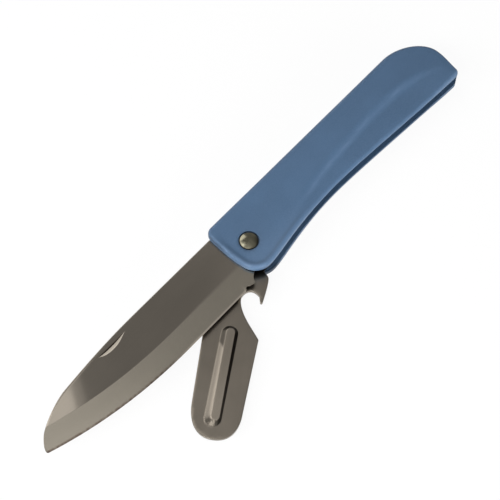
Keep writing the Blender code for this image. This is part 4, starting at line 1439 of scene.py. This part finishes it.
def rivet_profile(knob):
    """The profile of the rivet, from the middle of its domed head to the middle of its flush tail."""
    seat = HEAD_SEAT_FLOOR + SEAT_GAP
    rim = level("pivot_rivet", True) - knob.head_dome
    sphere = (HEAD_RADIUS**2 + knob.head_dome**2) / (2 * knob.head_dome)
    radii = [HEAD_RADIUS * k / 24 for k in range(25)]
    dome = [(r, rim + math.sqrt(sphere**2 - r**2) - (sphere - knob.head_dome)) for r in radii]
    shank = [(HEAD_RADIUS, seat), (SHANK_RADIUS, seat), (SHANK_RADIUS, TAIL_THICKNESS)]
    tail = [(TAIL_RADIUS, TAIL_THICKNESS), (TAIL_RADIUS, 0.0), (0.0, 0.0)]
    return dome + shank + tail


class KNIFE_OT_turn_rivet(Operator):
    """Makes the rivet, its burr and the three washers"""

    bl_idname = "knife.turn_rivet"
    bl_label = "Turn Rivet and Washers"
    bl_options = {"REGISTER", "UNDO"}

    def execute(self, context):
        knob = context.scene.knife_rivet
        steel = turned_metal("handled_rivet_steel", knob.rivet, 0.12, 0.3)
        rivet = turned("handle_rivet", rivet_profile(knob), steel, knob, False)
        dressed(rivet, steel, "handle", "pivot_rivet")

        zinc = turned_metal("dull_zinc", knob.zinc, 0.35, 0.12)
        burr = turned("burr_ring", ring_profile("rivet_burr", SHANK_RADIUS + SEAT_GAP), zinc, knob)
        dressed(burr, zinc, "handle", "rivet_burr")

        brass = turned_metal("satin_brass", knob.brass, 0.34, 0.15)
        for name, node in (("washer_by_blade", "front_washer"), ("washer_between_tools", "centre_spacer")):
            washer = turned(name, ring_profile(node, TOOL_HOLE), brass, knob)
            dressed(washer, brass, "handle", node)

        spring = turned_metal("dark_spring_steel", knob.spring, 0.35, 0.2)
        dished = turned("washer_dished", ring_profile("spring_washer", TOOL_HOLE, WASHER_DISH), spring, knob)
        dressed(dished, spring, "handle", "spring_washer")
        return {"FINISHED"}


# ---------------------------------------------------------------- studio


def softbox(name, place, target, width, depth, level_seen, mirrored=True):
    """An even rectangular lamp that faces a target and looks as bright as a given level.

    A lamp that isn't mirrored lights the surfaces but doesn't show in the polished steel.
    """
    light = bpy.data.lights.new(name, "AREA")
    light.shape = "RECTANGLE"
    light.size = width
    light.size_y = depth
    light.energy = level_seen * math.pi * width * depth
    lamp = placed(name, light)
    lamp.location = place
    lamp.rotation_euler = (Vector(target) - Vector(place)).to_track_quat("-Z", "Y").to_euler()
    lamp.visible_glossy = mirrored
    return lamp


def overhead(place, width, depth, turn, level_seen):
    """A level softbox above the knife, turned by an angle in degrees."""
    lamp = softbox("overhead_light", place, (place[0], place[1], 0.0), width, depth, level_seen)
    lamp.rotation_euler = (0.0, 0.0, math.radians(turn))


def floor_finish(tone):
    """Pale matt floor that looks white to the lens and in mirrors, and keeps its shadows."""
    matt = 0.9
    whiteness = 0.92
    finish = Finish("studio_floor", matt, 0.0)
    finish.shader.inputs["Specular IOR Level"].default_value = 0.0
    grain = finish.span(finish.noise(12.0, 2.0), 0.3, 0.7)
    finish.done(finish.blend(grain, shade(tone, 0.99), tone), matt)
    path = finish.nodes.new("ShaderNodeLightPath").outputs
    seen = finish.sum("MAXIMUM", path["Is Camera Ray"], path["Is Glossy Ray"])
    seen = finish.sum("MAXIMUM", seen, path["Is Transmission Ray"])
    glow = finish.nodes.new("ShaderNodeEmission")
    mix = finish.nodes.new("ShaderNodeMixShader")
    finish.links.new(finish.sum("MULTIPLY", seen, whiteness), mix.inputs[0])
    finish.links.new(finish.shader.outputs[0], mix.inputs[1])
    finish.links.new(glow.outputs[0], mix.inputs[2])
    finish.links.new(mix.outputs[0], finish.nodes["Material Output"].inputs["Surface"])
    return finish.material


def room(level_seen):
    """Even grey walls with one dark corner to the right of the nose, white where the lens sees them."""
    world = bpy.data.worlds.new("studio_room")
    world.use_nodes = True
    nodes, links = world.node_tree.nodes, world.node_tree.links
    way = nodes.new("ShaderNodeTexCoord").outputs["Object"]
    towards = nodes.new("ShaderNodeVectorMath")
    towards.operation = "DOT_PRODUCT"
    towards.inputs[1].default_value = Vector(CORNER_WAY).normalized()
    links.new(way, towards.inputs[0])
    wall = nodes.new("ShaderNodeMapRange")
    wall.interpolation_type = "SMOOTHSTEP"
    wall.inputs["From Min"].default_value = CORNER_EDGE
    wall.inputs["From Max"].default_value = CORNER_CORE
    wall.inputs["To Min"].default_value = level_seen
    wall.inputs["To Max"].default_value = CORNER_LEVEL
    links.new(towards.outputs["Value"], wall.inputs["Value"])
    lens = nodes.new("ShaderNodeLightPath").outputs["Is Camera Ray"]
    strength = nodes.new("ShaderNodeMath")
    strength.operation = "MAXIMUM"
    links.new(wall.outputs[0], strength.inputs[0])
    links.new(lens, strength.inputs[1])
    nodes["Background"].inputs["Color"].default_value = (1.0, 1.0, 1.0, 1.0)
    links.new(strength.outputs[0], nodes["Background"].inputs["Strength"])
    return world


def floor_plane(tone):
    """The pale floor, just below the knife."""
    half = FLOOR_HALF
    corners = [(-half, -half, 0.0), (half, -half, 0.0), (half, half, 0.0), (-half, half, 0.0)]
    mesh = bpy.data.meshes.new("floor")
    mesh.from_pydata(corners, [], [(0, 1, 2, 3)])
    mesh.materials.append(floor_finish(tone))
    floor = placed("floor", mesh)
    floor.location.z = -FLOOR_DROP


def hang_lamps():
    """Hangs the overheads, then a lamp for each of the underside, the nose, the front and the back."""
    for place, width, depth, turn, level_seen in OVERHEADS:
        overhead(place, width, depth, turn, level_seen)
    pivot = (0.0, 0.0, 0.0)
    underside = (0.02, 0.0, 0.0)
    softbox("underside_light", (-0.10, -1.20, 0.26), underside, 1.7, 0.50, 7.2, mirrored=False)
    softbox("nose_light", (-0.31, -0.083, 0.383), pivot, 0.16, 0.16, 12.5)
    softbox("front_light", (-0.80, 0.30, 0.40), pivot, 0.4, 0.5, 10.0, mirrored=False)
    softbox("back_card", (0.14, 0.95, 0.84), pivot, 0.8, 0.6, 1.8)


def stand_camera(scene):
    """Stands the camera over the blade's side of the knife, looking down along it."""
    lens = bpy.data.cameras.new("camera")
    lens.sensor_width = SENSOR_WIDTH
    lens.lens = FOCAL_LENGTH
    lens.clip_start = 0.01
    camera = placed("camera", lens)
    back = -Vector(CAMERA_AHEAD)
    stand = Matrix((CAMERA_RIGHT, CAMERA_UP, back)).transposed().to_4x4()
    stand.translation = CAMERA_PLACE
    camera.matrix_world = stand
    scene.camera = camera


class KNIFE_OT_set_studio(Operator):
    """Makes the floor, lamps and camera"""

    bl_idname = "knife.set_studio"
    bl_label = "Set Studio"
    bl_options = {"REGISTER", "UNDO"}

    def execute(self, context):
        scene = context.scene
        knob = scene.knife_studio
        floor_plane(knob.floor)
        scene.world = room(knob.room_level)
        hang_lamps()
        scene.view_settings.view_transform = "Standard"
        stand_camera(scene)
        return {"FINISHED"}


# ---------------------------------------------------------------- panel and registration


class KNIFE_PT_workshop(Panel):
    """Lists the knife's pieces and their sizes"""

    bl_label = "Folding Picnic Knife"
    bl_idname = "KNIFE_PT_workshop"
    bl_space_type = "VIEW_3D"
    bl_region_type = "UI"
    bl_category = "Picnic Knife"

    def draw(self, context):
        for operator, settings, group in STEPS:
            box = self.layout.box()
            box.operator(operator.bl_idname)
            knob = getattr(context.scene, settings)
            for name in group.__annotations__:
                box.prop(knob, name)


STEPS = (
    (KNIFE_OT_mould_handle, "knife_handle", HandleSettings),
    (KNIFE_OT_grind_blade, "knife_blade", BladeSettings),
    (KNIFE_OT_press_leaf, "knife_leaf", LeafSettings),
    (KNIFE_OT_turn_rivet, "knife_rivet", RivetSettings),
    (KNIFE_OT_set_studio, "knife_studio", StudioSettings),
)


def register():
    """Adds the settings, operators and panel."""
    for operator, settings, group in STEPS:
        bpy.utils.register_class(group)
        setattr(bpy.types.Scene, settings, PointerProperty(type=group))
        bpy.utils.register_class(operator)
    bpy.utils.register_class(KNIFE_PT_workshop)


def unregister():
    """Takes them away again."""
    bpy.utils.unregister_class(KNIFE_PT_workshop)
    for operator, settings, group in reversed(STEPS):
        bpy.utils.unregister_class(operator)
        delattr(bpy.types.Scene, settings)
        bpy.utils.unregister_class(group)


def main():
    """Makes every piece and the studio."""
    register()
    for operator, _, _ in STEPS:
        name = operator.bl_idname.removeprefix("knife.")
        getattr(bpy.ops.knife, name)()


if __name__ == "__main__":
    main()
